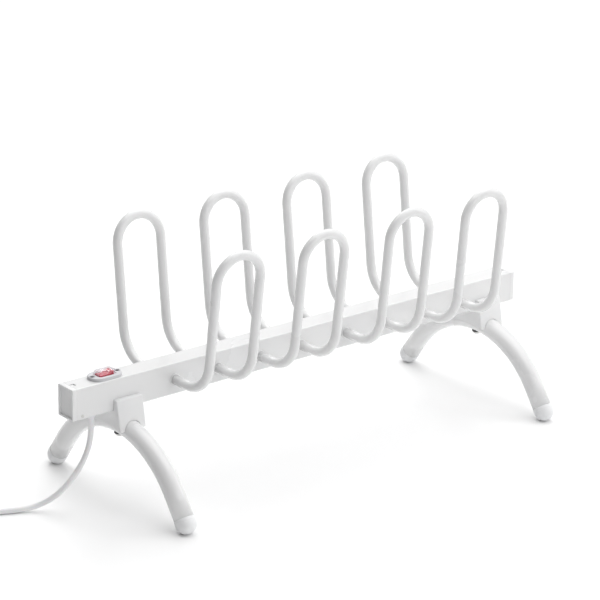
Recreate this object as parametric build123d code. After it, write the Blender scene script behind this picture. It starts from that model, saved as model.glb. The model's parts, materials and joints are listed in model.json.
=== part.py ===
from build123d import *
from math import atan2, cos, pi, radians, sin, sqrt, tan
import os

# Electric boot and glove dryer: a steel rail on two arched legs carries eight heated
# hoops. Millimetres, +X along the rail, +Z up, floor at z = 0, -Y is the front.
# The origin is on the floor, under the middle of the rail.

# ---- driving dimensions -------------------------------------------------------------
RAIL_LENGTH = 700.0
RAIL_WIDTH = 30.0
RAIL_HEIGHT = 40.0
RAIL_WALL = 1.5
RAIL_CORNER = 1.6
CAP_FLANGE = 6.0

HOOP_TUBE = 12.0
HOOP_WALL = 1.5
HOOP_GAP = 65.2          # between the two legs of one hoop
HOOP_PITCH = 133.6
HOOP_FIRST_X = -178.4
HOOP_REACH = 79.6        # from the rail's middle to the corner that the knee rounds
HOOP_KNEE = 43.3
HOOP_LEG = 143.5         # from that corner to the start of the round top
HOOP_ROOT_UP = 19.2      # above the underside of the rail
REAR_LEANS = (6.1, 6.8, 7.0, 7.1)
FRONT_LEANS = (7.0, 6.6, 5.9, 5.1)
FRONT_SHIFTS = (4.8, 2.3, 7.4, 1.8)   # hand-welded hoops stand a little off the pitch

LEG_TUBE = 25.0
LEG_WALL = 1.5
LEG_BEND = 138.0
LEG_SWEEP = 54.0         # degrees, each side of the top
LEG_END = 36.5           # straight, from the bend to the middle of the foot ball
LEG_MIDDLE_X = 13.9
LEG_SPACING = 584.2
FOOT_BALL = 12.9
FOOT_SOLE = 5.0          # radius of the flat that stands on the floor
FOOT_SEAM = 6.5          # the cap's edge above the middle of the ball

SADDLE_LENGTH = 38.0
SADDLE_SEAT = 11.0       # plastic between the leg tube and the rail
SADDLE_TOP_Y = 21.7
SADDLE_FOOT_Y = 29.0
SADDLE_GRIP = 14.4       # how far the flanges reach up the rail

SWITCH_X = -299.0
CORD_X = -319.0
CORD_DIAMETER = 7.0

# ---- worked out from them -----------------------------------------------------------
SOLE_DROP = sqrt(FOOT_BALL**2 - FOOT_SOLE**2)
LEG_SPAN = LEG_BEND * sin(radians(LEG_SWEEP)) + LEG_END * cos(radians(LEG_SWEEP))
LEG_RISE = LEG_BEND * (1 - cos(radians(LEG_SWEEP))) + LEG_END * sin(radians(LEG_SWEEP))
LEG_TOP = SOLE_DROP + LEG_RISE
LEG_CENTRE_Z = LEG_TOP - LEG_BEND
RAIL_BOTTOM = LEG_TOP + LEG_TUBE / 2 + SADDLE_SEAT
RAIL_TOP = RAIL_BOTTOM + RAIL_HEIGHT
RAIL_MID = RAIL_BOTTOM + RAIL_HEIGHT / 2
RAIL_FLOOR = RAIL_BOTTOM + RAIL_WALL
RAIL_ROOF = RAIL_TOP - RAIL_WALL
RAIL_END = RAIL_LENGTH / 2
HOOP_ROOT = RAIL_BOTTOM + HOOP_ROOT_UP
LEG_XS = (LEG_MIDDLE_X - LEG_SPACING / 2, LEG_MIDDLE_X + LEG_SPACING / 2)
REAR_XS = [HOOP_FIRST_X + HOOP_PITCH * i for i in range(4)]
FRONT_XS = [x + shift for x, shift in zip(REAR_XS, FRONT_SHIFTS)]
HOOPS = [("front", i + 1, x, lean) for i, (x, lean) in enumerate(zip(FRONT_XS, FRONT_LEANS))]
HOOPS += [("rear", i + 1, x, lean) for i, (x, lean) in enumerate(zip(REAR_XS, REAR_LEANS))]
OUTWARD = {"front": -1, "rear": 1}
ENDS = {"left": -1, "right": 1}


# ---- helpers ------------------------------------------------------------------------
def rod(start, end, radius):
    """A round bar between two points."""
    start, end = Vector(start), Vector(end)
    line = end - start
    return extrude(Plane(start, z_dir=line) * Circle(radius), line.length)


def cuboid(x0, x1, y0, y1, z0, z1):
    """A box by its faces."""
    middle = Pos((x0 + x1) / 2, (y0 + y1) / 2, (z0 + z1) / 2)
    return middle * Box(x1 - x0, y1 - y0, z1 - z0)


def pipe(path, radius, bore=0.0):
    """A round tube or wire along a smooth path."""
    section = Circle(radius)
    if bore:
        section -= Circle(bore)
    return sweep(Plane(path @ 0, z_dir=path % 0) * section, path=path)


def joined(*curves):
    """One wire from curves that follow each other."""
    return Wire([edge for curve in curves for edge in curve.edges()])


def soft_path(points, share=0.45):
    """Straight runs joined by arcs as large as the runs beside them allow."""
    points = [Vector(p) for p in points]
    radii = []
    for before, corner, after in zip(points, points[1:], points[2:]):
        into, out = corner - before, after - corner
        turn = radians(into.get_angle(out))
        radii.append(share * min(into.length, out.length) / tan(turn / 2))
    return FilletPolyline(*points, radius=radii), radii


def stadium(length, width):
    """A slot shape with round ends, along X."""
    return SlotOverall(length, width)


def mirrored(shape):
    """The same piece for the other end of an object built about x = 0."""
    return mirror(shape, about=Plane.YZ)


# ---- rail and its ends --------------------------------------------------------------
CAP_WINDOW_X = RAIL_END - 4.6      # snap window, from the rail's middle
CAP_WINDOW = (6.6, 6.4)
BOLT_RADIUS = 3.0
GLAND_HOLE = 6.6
SWITCH_CUTOUT = (28.0, 14.0)
EARTH_SCREW_X = -341.6
EARTH_SCREW_Z = RAIL_BOTTOM + 4.2


def make_rail():
    outer = RectangleRounded(RAIL_WIDTH, RAIL_HEIGHT, RAIL_CORNER)
    inner = Rectangle(RAIL_WIDTH - 2 * RAIL_WALL, RAIL_HEIGHT - 2 * RAIL_WALL)
    section = Plane((-RAIL_END, 0, RAIL_MID), x_dir=(0, 1, 0), z_dir=(1, 0, 0)) * (outer - inner)
    rail = extrude(section, RAIL_LENGTH)
    for side, _, x, _ in HOOPS:
        y = OUTWARD[side] * RAIL_WIDTH / 2
        for leg_x in (x - HOOP_GAP / 2, x + HOOP_GAP / 2):
            rail -= rod((leg_x, y * 0.7, HOOP_ROOT), (leg_x, y * 1.3, HOOP_ROOT), HOOP_TUBE / 2 + 0.1)
    for x in LEG_XS:
        rail -= rod((x, 0, RAIL_BOTTOM - 2), (x, 0, RAIL_FLOOR + 2), BOLT_RADIUS + 1.6)
    rail -= rod((CORD_X, 0, RAIL_BOTTOM - 2), (CORD_X, 0, RAIL_FLOOR + 2), GLAND_HOLE + 0.1)
    rail -= cuboid(SWITCH_X - SWITCH_CUTOUT[0] / 2, SWITCH_X + SWITCH_CUTOUT[0] / 2,
                   -SWITCH_CUTOUT[1] / 2, SWITCH_CUTOUT[1] / 2, RAIL_ROOF - 2, RAIL_TOP + 2)
    for x in SWITCH_SCREW_XS:
        rail -= rod((x, 0, RAIL_ROOF - 2), (x, 0, RAIL_TOP + 2), SWITCH_SCREW)
    for sign in ENDS.values():
        window = cuboid(-CAP_WINDOW[0] / 2, CAP_WINDOW[0] / 2,
                        -CAP_WINDOW[1] / 2, CAP_WINDOW[1] / 2, RAIL_ROOF - 2, RAIL_TOP + 2)
        rail -= Pos(sign * CAP_WINDOW_X, 0, 0) * window
    rail -= rod((EARTH_SCREW_X, -RAIL_WIDTH, EARTH_SCREW_Z), (EARTH_SCREW_X, 0, EARTH_SCREW_Z), 1.5)
    return rail


def make_end_cap():
    """Right-hand cap: flange with a sunk face, hollow plug, snap nose under the window."""
    plane = Plane((RAIL_END, 0, RAIL_MID), x_dir=(0, 1, 0), z_dir=(1, 0, 0))
    cap = extrude(plane * RectangleRounded(RAIL_WIDTH, RAIL_HEIGHT, RAIL_CORNER), CAP_FLANGE)
    cap -= extrude(plane.offset(CAP_FLANGE - 2.2) * RectangleRounded(
        RAIL_WIDTH - 4.4, RAIL_HEIGHT - 4.4, 1.0), 3)
    plug_width = RAIL_WIDTH - 2 * RAIL_WALL - 0.4
    plug_height = RAIL_HEIGHT - 2 * RAIL_WALL - 0.4
    sleeve = RectangleRounded(plug_width, plug_height, 1.0)
    sleeve -= RectangleRounded(plug_width - 4, plug_height - 4, 1.0)
    cap += extrude(plane * sleeve, -9)
    cap -= cuboid(RAIL_END - 9.5, RAIL_END - 5.4, -15, -4, RAIL_BOTTOM, RAIL_BOTTOM + 12)
    nose = cuboid(CAP_WINDOW_X - 2.6, CAP_WINDOW_X + 2.0, -2.9, 2.9, RAIL_ROOF - 1.0, RAIL_TOP - 0.9)
    return cap + nose


# ---- hoops and the heating cable inside them ----------------------------------------
def hoop_path(x, side, lean, inner_y):
    """Centre line of a hoop, from inner_y on one leg to inner_y on the other."""
    out = OUTWARD[side]
    lean = radians(lean)
    left, right = x - HOOP_GAP / 2, x + HOOP_GAP / 2
    top_y = out * (HOOP_REACH + HOOP_LEG * sin(lean))
    top_z = HOOP_ROOT + HOOP_LEG * cos(lean)
    crown = (x, top_y + out * HOOP_GAP / 2 * sin(lean), top_z + HOOP_GAP / 2 * cos(lean))

    def leg(leg_x):
        corners = ((leg_x, out * inner_y, HOOP_ROOT), (leg_x, out * HOOP_REACH, HOOP_ROOT),
                   (leg_x, top_y, top_z))
        return corners

    up = FilletPolyline(*leg(left), radius=HOOP_KNEE)
    over = ThreePointArc((left, top_y, top_z), crown, (right, top_y, top_z))
    down = FilletPolyline(*reversed(leg(right)), radius=HOOP_KNEE)
    return joined(up, over, down)


def make_hoop(x, side, lean):
    """Bent tube with a weld bead round each root."""
    out = OUTWARD[side]
    radius = HOOP_TUBE / 2
    hoop = pipe(hoop_path(x, side, lean, RAIL_WIDTH / 2 - RAIL_WALL), radius, radius - HOOP_WALL)
    for leg_x in (x - HOOP_GAP / 2, x + HOOP_GAP / 2):
        root = Plane((leg_x, out * RAIL_WIDTH / 2, HOOP_ROOT), z_dir=(0, out, 0))
        bead = root * Pos(0, 0, 0.9) * Cone(radius + 1.7, radius - 0.3, 1.8)
        bore = root * Cylinder(radius - 0.5, 8)
        hoop += bead - bore
    return hoop


CABLE_RADIUS = 2.0
LINK_Y = 5.0
CRIMP_RADIUS = 2.0
LINK_RADIUS = 1.1


def make_heating_cable(x, side, lean):
    return pipe(hoop_path(x, side, lean, LINK_Y + CRIMP_RADIUS), CABLE_RADIUS)


def hoop_leg_xs(xs):
    """Every hoop leg along one side of the rail, in order."""
    return [x + step for x in xs for step in (-HOOP_GAP / 2, HOOP_GAP / 2)]


def make_crimps():
    """Sleeves that join each cable end to the wire beside it."""
    sleeves = []
    for side, xs in (("front", FRONT_XS), ("rear", REAR_XS)):
        y = OUTWARD[side] * LINK_Y
        for x in hoop_leg_xs(xs):
            sleeve = rod((x - 4, y, HOOP_ROOT), (x + 4, y, HOOP_ROOT), CRIMP_RADIUS)
            sleeves.append(sleeve - rod((x - 5, y, HOOP_ROOT), (x + 5, y, HOOP_ROOT), LINK_RADIUS))
    return sleeves


def make_links(side, xs):
    """Wires in the rail that put the four cables of one side in series."""
    y = OUTWARD[side] * LINK_Y
    legs = hoop_leg_xs(xs)[1:-1]
    return [rod((a, y, HOOP_ROOT), (b, y, HOOP_ROOT), LINK_RADIUS)
            for a, b in zip(legs[::2], legs[1::2])]


def make_crossover():
    """Wire at the far end, from the last front cable to the last rear one."""
    front_x, rear_x = hoop_leg_xs(FRONT_XS)[-1], hoop_leg_xs(REAR_XS)[-1]
    turn_x = max(front_x, rear_x) + 22
    points = ((front_x, -LINK_Y, HOOP_ROOT), (turn_x, -LINK_Y, HOOP_ROOT),
              (turn_x, LINK_Y, HOOP_ROOT), (rear_x, LINK_Y, HOOP_ROOT))
    return pipe(FilletPolyline(*points, radius=4.5), LINK_RADIUS)


BLOCK = (-260.0, -232.0)            # terminal block, along X
BLOCK_TOP = RAIL_FLOOR + 13
BLOCK_WIRE_Z = RAIL_FLOOR + 6.5
FUSE_XS = (-254.0, -238.0)


def make_lead_wire(side, first_x):
    """Wire from the terminal block to the first cable of one side."""
    y = OUTWARD[side] * LINK_Y
    points = ((BLOCK[1], y, BLOCK_WIRE_Z), (BLOCK[1] + 5, y, BLOCK_WIRE_Z),
              (first_x - 9, y, HOOP_ROOT), (first_x, y, HOOP_ROOT))
    return pipe(FilletPolyline(*points, radius=4), LINK_RADIUS)


def make_link_wires():
    """All the wires between the terminal block and the eight cables, one series loop."""
    front_x, rear_x = hoop_leg_xs(FRONT_XS)[0], hoop_leg_xs(REAR_XS)[0]
    wires = make_links("front", FRONT_XS) + make_links("rear", REAR_XS)
    return wires + [make_crossover(), make_lead_wire("front", front_x), make_lead_wire("rear", rear_x)]


def make_thermal_fuse():
    """Fuse cartridge in a sleeve, strapped to the rear wall above the block."""
    y, z = 8.6, BLOCK_TOP + 6
    fuse = rod((FUSE_XS[0], y, z), (FUSE_XS[1], y, z), 2.6)
    fuse += rod((FUSE_XS[0] - 6, y, z), (FUSE_XS[0], y, z), 0.7)
    return fuse + rod((FUSE_XS[1], y, z), (FUSE_XS[1] + 6, y, z), 0.7)


def make_terminal_block():
    block = cuboid(BLOCK[0], BLOCK[1], -9, 9, RAIL_FLOOR, BLOCK_TOP)
    for y in (-6, 0, 6):
        for x in (BLOCK[0] + 8, BLOCK[1] - 8):
            block -= rod((x, y, BLOCK_TOP - 8), (x, y, BLOCK_TOP + 1), 2.2)
    return block


def make_terminal_screws():
    screws = []
    for y in (-6, 0, 6):
        for x in (BLOCK[0] + 8, BLOCK[1] - 8):
            screw = rod((x, y, BLOCK_TOP - 8), (x, y, BLOCK_TOP - 3), 2.1)
            screws.append(screw - cuboid(x - 2.5, x + 2.5, y - 0.4, y + 0.4, BLOCK_TOP - 4, BLOCK_TOP))
    return screws


# ---- legs ---------------------------------------------------------------------------
def leg_path(shorten):
    """Centre line of a leg arch in the plane x = 0, cut back at both ends."""
    half = radians(LEG_SWEEP)
    bend_y, bend_z = LEG_BEND * sin(half), LEG_CENTRE_Z + LEG_BEND * cos(half)
    run = LEG_END - shorten
    end_y, end_z = bend_y + run * cos(half), bend_z - run * sin(half)
    front = Line((0, -end_y, end_z), (0, -bend_y, bend_z))
    arch = ThreePointArc((0, -bend_y, bend_z), (0, 0, LEG_TOP), (0, bend_y, bend_z))
    rear = Line((0, bend_y, bend_z), (0, end_y, end_z))
    return joined(front, arch, rear)


def make_leg():
    radius = LEG_TUBE / 2
    leg = pipe(leg_path(FOOT_SEAM), radius, radius - LEG_WALL)
    return leg - rod((0, 0, LEG_TOP - 20), (0, 0, LEG_TOP + 20), BOLT_RADIUS + 0.3)


def make_foot():
    """Rear foot cap: domed head with a small flat sole, ribbed shank up the tube."""
    half = radians(LEG_SWEEP)
    ball = Vector(0, LEG_SPAN, SOLE_DROP)
    up_leg = Vector(0, -cos(half), sin(half))
    head = Pos(*ball) * Sphere(FOOT_BALL)
    head -= Plane(ball, z_dir=up_leg) * Pos(0, 0, 20) * Box(60, 60, 40)
    head += rod(ball, ball + up_leg * FOOT_SEAM, FOOT_BALL)
    head -= cuboid(-30, 30, LEG_SPAN - 30, LEG_SPAN + 30, -30, 0)
    seam = ball + up_leg * FOOT_SEAM
    shank = rod(seam, seam + up_leg * 18, 9.0)
    for step in (2, 7, 12):
        shank += rod(seam + up_leg * step, seam + up_leg * (step + 2), LEG_TUBE / 2 - LEG_WALL - 0.1)
    return head + shank


def make_saddle():
    """Moulded saddle: grips the rail from below and sits astride the leg tube."""
    top = RAIL_BOTTOM + SADDLE_GRIP
    low = LEG_TOP - 6
    slope = (SADDLE_FOOT_Y - SADDLE_TOP_Y) / (top - LEG_TOP)
    low_y = SADDLE_FOOT_Y + slope * (LEG_TOP - low)
    outline = Polyline((-SADDLE_TOP_Y, top), (SADDLE_TOP_Y, top), (low_y, low), (-low_y, low), close=True)
    plane = Plane((-SADDLE_LENGTH / 2, 0, 0), x_dir=(0, 1, 0), z_dir=(1, 0, 0))
    body = extrude(plane * make_face(outline), SADDLE_LENGTH)
    skirt = LEG_BEND + 2.8
    body -= Plane((0, 0, LEG_CENTRE_Z), z_dir=(1, 0, 0)) * Cylinder(skirt, SADDLE_LENGTH + 2)
    body = fillet(body.edges().filter_by(lambda e: e.center().Z > RAIL_BOTTOM - 30
                  and abs(e.center().Y) > SADDLE_TOP_Y - 1 and e.center().Z > LEG_TOP + 5), 1.2)
    body -= cuboid(-30, 30, -RAIL_WIDTH / 2 - 0.1, RAIL_WIDTH / 2 + 0.1, RAIL_BOTTOM, top + 5)
    body -= pipe(leg_path(FOOT_SEAM), LEG_TUBE / 2 + 0.1)
    for y in (-20.0, 20.0):
        hollow_top = RAIL_BOTTOM - 3
        body -= cuboid(-SADDLE_LENGTH / 2 + 3, SADDLE_LENGTH / 2 - 3, y - 2.5, y + 2.5,
                       LEG_TOP - 10, hollow_top)
    return body - rod((0, 0, LEG_TOP), (0, 0, RAIL_BOTTOM + 1), BOLT_RADIUS + 0.3)


BOLT_HEAD = 5.2
WASHER = (6.4, 1.0)               # radius, thickness
WASHER_TOP = LEG_TOP - LEG_TUBE / 2 - 0.25   # it bears on the hollow of the bend at its rim


def make_leg_bolt():
    """Pan-head screw from below, through the leg and the saddle, into the rail."""
    seat = WASHER_TOP - WASHER[1]
    head = Pos(0, 0, seat - 1.6) * Cylinder(BOLT_HEAD, 3.2)
    head = fillet(head.edges().group_by(Axis.Z)[0], 1.3)
    head -= Pos(0, 0, seat - 3.0) * Box(6.2, 1.2, 2.4)
    head -= Pos(0, 0, seat - 3.0) * Box(1.2, 6.2, 2.4)
    return head + rod((0, 0, seat), (0, 0, RAIL_FLOOR + 9), BOLT_RADIUS - 0.05)


def make_leg_washer():
    disc = rod((0, 0, WASHER_TOP - WASHER[1]), (0, 0, WASHER_TOP), WASHER[0])
    return disc - rod((0, 0, WASHER_TOP - 2), (0, 0, WASHER_TOP + 1), BOLT_RADIUS)


def make_leg_nut():
    """Flanged insert nut, riveted into the floor of the rail."""
    nut = rod((0, 0, RAIL_BOTTOM), (0, 0, RAIL_FLOOR + 7), BOLT_RADIUS + 1.5)
    nut += rod((0, 0, RAIL_FLOOR), (0, 0, RAIL_FLOOR + 1.2), BOLT_RADIUS + 3.5)
    return nut - rod((0, 0, RAIL_BOTTOM - 1), (0, 0, RAIL_FLOOR + 8), BOLT_RADIUS)


# ---- switch, built about x = 0 and moved to its place -------------------------------
BEZEL = (45.0, 26.0, 4.0)
SWITCH_SCREW = 1.5
SWITCH_SCREW_XS = (SWITCH_X - 18.2, SWITCH_X + 18.2)
ROCKER = (20.0, 11.5)              # along X, along Y
ROCKER_TILT = 9.0                  # each way from level
PIVOT_RADIUS = 1.2
PIVOT_REACH = 7.9                  # half the length of the rocker's trunnions
PIVOT_Z = RAIL_TOP + BEZEL[2] - 2.4
COVER = (26.5, 17.0)
COVER_WALL = 0.8
COVER_RISE = 6.8


def make_bezel():
    """Oval frame on top of the rail, with the guide for the rocker."""
    frame = Pos(0, 0, RAIL_TOP) * extrude(stadium(BEZEL[0], BEZEL[1]), BEZEL[2])
    frame = fillet(frame.edges().group_by(Axis.Z)[-1], 1.1)
    frame -= Pos(0, 0, RAIL_TOP - 1) * extrude(RectangleRounded(ROCKER[0] + 1.6, ROCKER[1] + 1.6, 1), 9)
    groove = RectangleRounded(COVER[0] + 0.4, COVER[1] + 0.4, 5)
    frame -= Pos(0, 0, RAIL_TOP + BEZEL[2] - 1.2) * extrude(groove, 5)
    frame -= rod((0, -8.4, PIVOT_Z), (0, 8.4, PIVOT_Z), PIVOT_RADIUS + 0.05)
    for x in (-18.2, 18.2):
        frame -= rod((x, 0, RAIL_TOP - 1), (x, 0, RAIL_TOP + 9), SWITCH_SCREW + 0.1)
        frame -= rod((x, 0, RAIL_TOP + BEZEL[2] - 1.6), (x, 0, RAIL_TOP + 9), 2.9)
    return frame


def make_switch_housing():
    """Black box under the bezel, open at the top for the rocker."""
    roof = RAIL_TOP
    box = cuboid(-13.6, 13.6, -6.8, 6.8, RAIL_TOP - 21, roof)
    box -= cuboid(-11.6, 11.6, -6.4, 6.4, RAIL_TOP - 14, roof + 1)
    for x in (-7.5, 0, 7.5):
        box -= cuboid(x - 0.5, x + 0.5, -2.5, 2.5, RAIL_TOP - 22, RAIL_TOP - 13)
    return box


def make_switch_terminals():
    """Three blade terminals through the floor of the housing."""
    blades = []
    for x in (-7.5, 0, 7.5):
        blade = cuboid(x - 0.4, x + 0.4, -2.4, 2.4, RAIL_TOP - 28, RAIL_TOP - 12.5)
        blades.append(blade - rod((x - 2, 0, RAIL_TOP - 26), (x + 2, 0, RAIL_TOP - 26), 0.8))
    return blades


def make_switch_lamp():
    """Neon lamp that lights the rocker from below."""
    z = RAIL_TOP - 9.6
    return rod((-9.5, 3.2, z), (-2.5, 3.2, z), 1.7) + rod((-10.6, 3.2, z), (-9.5, 3.2, z), 0.6)


def make_rocker():
    """See-through key, built level and then tipped to the side that is pressed."""
    half, rise = ROCKER[0] / 2, ROCKER[0] / 2 * tan(radians(ROCKER_TILT))
    top = 3.0
    side = Polyline((-half, top + rise), (0, top), (half, top + rise), (half - 0.8, -1.5),
                    (4.0, -4.6), (-4.0, -4.6), (-half + 0.8, -1.5), close=True)
    plane = Plane((0, ROCKER[1] / 2, 0), x_dir=(1, 0, 0), z_dir=(0, -1, 0))
    key = extrude(plane * make_face(side), ROCKER[1])
    key = fillet(key.edges().filter_by(Axis.Y).group_by(Axis.Z)[-1], 0.6)
    key -= cuboid(-7.5, 7.5, -4.2, 4.2, -8, 1.8)
    key += rod((0, -PIVOT_REACH, 0), (0, PIVOT_REACH, 0), PIVOT_RADIUS)
    return Pos(0, 0, PIVOT_Z) * Rot(0, -ROCKER_TILT, 0) * key


def make_splash_cover():
    """Clear soft membrane over the rocker, held in the bezel's groove."""
    foot = RAIL_TOP + BEZEL[2] - 1.2
    flange = Pos(0, 0, foot) * extrude(RectangleRounded(COVER[0], COVER[1], 5), 1.0)
    dome = Pos(0, 0, foot) * extrude(RectangleRounded(COVER[0] - 2.4, COVER[1] - 2.4, 3), COVER_RISE)
    dome = fillet(dome.edges().group_by(Axis.Z)[-1], 2.4)
    room = Pos(0, 0, foot - 1) * extrude(RectangleRounded(
        COVER[0] - 2.4 - 2 * COVER_WALL, COVER[1] - 2.4 - 2 * COVER_WALL, 2.2), COVER_RISE + 1 - COVER_WALL)
    room = fillet(room.edges().group_by(Axis.Z)[-1], 1.6)
    return flange + dome - room


def make_switch_screw():
    """Countersunk-look screw that holds the bezel to the rail."""
    seat = RAIL_TOP + BEZEL[2] - 1.6
    head = Pos(0, 0, seat + 0.6) * Cylinder(2.7, 1.2)
    head -= Pos(0, 0, seat + 1.1) * Box(3.4, 0.7, 1.2)
    head -= Pos(0, 0, seat + 1.1) * Box(0.7, 3.4, 1.2)
    return head + rod((0, 0, RAIL_ROOF - 5), (0, 0, seat), SWITCH_SCREW - 0.05)


# ---- cord, gland, hank and plug -----------------------------------------------------
GLAND_TIP = RAIL_BOTTOM - 6.6
GLAND_INSIDE = 7.5                # how far the gland stands up inside the rail
CORD_RADIUS = CORD_DIAMETER / 2
HANK_MIDDLE = (-475.0, 112.0)
HANK_HEADING = radians(146)       # along the hank, away from the dryer
HANK_WAY = (cos(HANK_HEADING), sin(HANK_HEADING))
HANK_HALF = 44.0                  # from its middle to the middle of each end loop
HANK_FOLD = 28.1                  # radius of the outer strand round each end
HANK_WAIST = 10.9                 # the outer strand at the tie, from the middle
HANK_BASE = 1.0                   # thickness of the tie that the strands lie on
HANK_LAYERS = 3
HANK_LAYER = 7.1                  # height of one layer of strands
PLUG_RADIUS = 18.5
PLUG_HEIGHT = 27.0
PLUG_ENTRY = 14.0                 # height of the cord where it goes into the plug
RELIEF_LENGTH = 27.0


def on_hank(along, across, height):
    """A point from distances along and across the hank."""
    way_x, way_y = HANK_WAY
    return (HANK_MIDDLE[0] + along * way_x + across * way_y,
            HANK_MIDDLE[1] + along * way_y - across * way_x, height)


LEAD_ROUTE = (
    (CORD_X, 0, GLAND_TIP),
    (CORD_X, 0, 87),
    (-330, 2, 58),
    (-350, 6, 33),
    (-366, 14, 16.5),
    (-384, 27.5, 5),
    (-407, 37, CORD_RADIUS),
    on_hank(-HANK_HALF - 22, -HANK_FOLD, CORD_RADIUS),
    on_hank(-HANK_HALF, -HANK_FOLD, CORD_RADIUS),
)
TAIL_TOP = HANK_BASE + CORD_RADIUS + 2 * HANK_LAYER
TAIL_END = 40.0
TAIL_ROUTE = (
    on_hank(HANK_HALF + HANK_FOLD, 0, TAIL_TOP),
    on_hank(HANK_HALF + HANK_FOLD, 12, TAIL_TOP),
    on_hank(HANK_HALF + HANK_FOLD, 28, PLUG_ENTRY),
    on_hank(HANK_HALF + HANK_FOLD, TAIL_END, PLUG_ENTRY),
)


def make_gland():
    """Strain relief moulded on the cord and snapped into the floor of the rail."""
    gland = rod((0, 0, RAIL_BOTTOM - 2), (0, 0, RAIL_BOTTOM), 8.6)
    gland = fillet(gland.edges().group_by(Axis.Z)[0], 0.8)
    gland += rod((0, 0, RAIL_BOTTOM), (0, 0, RAIL_FLOOR), GLAND_HOLE)
    gland += Pos(0, 0, RAIL_FLOOR + 1) * Cone(GLAND_HOLE + 0.8, GLAND_HOLE - 0.8, 2)
    taper_in = RAIL_FLOOR + 2
    taper = RAIL_FLOOR + GLAND_INSIDE - taper_in
    gland += Pos(0, 0, taper_in + taper / 2) * Cone(GLAND_HOLE - 0.8, 4.4, taper)
    taper_out = RAIL_BOTTOM - 2 - GLAND_TIP
    return gland + Pos(0, 0, GLAND_TIP + taper_out / 2) * Cone(4.6, 6.2, taper_out)


def make_cord_end():
    """Stub of sheath inside the rail, where the cores come out."""
    low = RAIL_FLOOR + GLAND_INSIDE
    return rod((CORD_X, 0, low), (CORD_X, 0, low + 3), CORD_RADIUS)


CORE_RADIUS = 0.9
CORE_Z = RAIL_TOP - 24             # where the cores run under the switch
BLADE_XS = (SWITCH_X - 7.5, SWITCH_X, SWITCH_X + 7.5)


def core_wire(*points):
    return pipe(FilletPolyline(*points, radius=2.0), CORE_RADIUS)


def make_supply_cores():
    """Live and neutral to the switch, earth to the screw in the front wall."""
    low = RAIL_FLOOR + GLAND_INSIDE + 3
    live = core_wire((CORD_X, -1.6, low), (CORD_X, -1.6, CORE_Z), (BLADE_XS[0] - 0.4, -1.6, CORE_Z))
    neutral = core_wire((CORD_X, 1.6, low), (CORD_X, 1.6, CORE_Z), (CORD_X + 8, 5.5, CORE_Z),
                        (BLADE_XS[2], 5.5, CORE_Z), (BLADE_XS[2], 2.4, CORE_Z))
    ring_x, ring_y = EARTH_SCREW_X + 8, -RAIL_WIDTH / 2 + RAIL_WALL + 2.5
    earth = core_wire((CORD_X - 2.2, 0, low), (CORD_X - 2.2, 0, CORE_Z), (CORD_X - 8, ring_y, CORE_Z - 2),
                      (CORD_X - 8, ring_y, EARTH_SCREW_Z), (ring_x, ring_y, EARTH_SCREW_Z))
    return [live, neutral, earth]


def make_switch_wires():
    """Switched live and neutral, from the switch to the terminal block."""
    z = RAIL_TOP - 27
    wires = []
    for x, out in ((BLADE_XS[1], -1), (BLADE_XS[2], 1)):
        wires.append(core_wire((x, out * 2.4, z), (x, out * 7.5, z), (x + 9, out * 7.5, BLOCK_WIRE_Z),
                               (BLOCK[0], out * 7.5, BLOCK_WIRE_Z)))
    return wires


def hank_outline(outer):
    """Dog-bone outline of one strand lane, at its distance inside the outer edge."""
    fold = HANK_FOLD + outer
    waist = HANK_WAIST + outer
    hollow = (HANK_HALF**2 + waist**2 - fold**2) / (2 * (fold - waist))
    turn = atan2(waist + hollow, HANK_HALF)
    touch = (HANK_HALF - fold * cos(turn), fold * sin(turn))
    ends = []
    for sign in (-1, 1):
        low, high = (sign * touch[0], -touch[1]), (sign * touch[0], touch[1])
        ends.append(ThreePointArc(low, (sign * (HANK_HALF + fold), 0), high))
    sides = []
    for sign in (-1, 1):
        sides.append(ThreePointArc((-touch[0], sign * touch[1]), (0, sign * waist), (touch[0], sign * touch[1])))
    return make_face(Wire([c.edge() for c in (ends[0], sides[1], ends[1], sides[0])]))


HANK_TOP = HANK_BASE + HANK_LAYERS * HANK_LAYER + 0.15


def hank_plane(height):
    return Plane((*HANK_MIDDLE, height), x_dir=(*HANK_WAY, 0), z_dir=(0, 0, -1))


def make_hank():
    """Outer shape of the folded cord, notched where the lead and the tail join it."""
    height = HANK_TOP
    solid = extrude(hank_plane(height) * hank_outline(CORD_RADIUS + 0.1), height - HANK_BASE)
    solid = fillet(solid.edges().filter_by(lambda e: e.length > 1 and abs(e.tangent_at(0).Z) < 0.1), 3.0)
    solid -= hank_plane(height + 1) * Pos(-HANK_HALF - 50, -24.4 - 20, 20) * Box(100, 40, 60)
    inner = HANK_HALF + HANK_FOLD - CORD_RADIUS - 0.1
    solid -= hank_plane(height + 1) * Pos(inner + 20, 20, 20) * Box(40, 40, 60)
    return solid


def make_tie():
    """Hook-and-loop strap round the waist of the hank."""
    height = HANK_TOP
    wide = HANK_WAIST + CORD_RADIUS + 0.7
    plane = Plane(on_hank(-6, 0, height / 2 + 0.5), x_dir=(HANK_WAY[1], -HANK_WAY[0], 0), z_dir=(*HANK_WAY, 0))
    outer = RectangleRounded(2 * wide + 1.8, height + 1.0, 4)
    inner = RectangleRounded(2 * wide, height - 1.0, 2.8)
    return extrude(plane * (outer - inner), 12)


def plug_place():
    return on_hank(HANK_HALF + HANK_FOLD, TAIL_END + RELIEF_LENGTH + PLUG_RADIUS - 3.0, 0)


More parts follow.
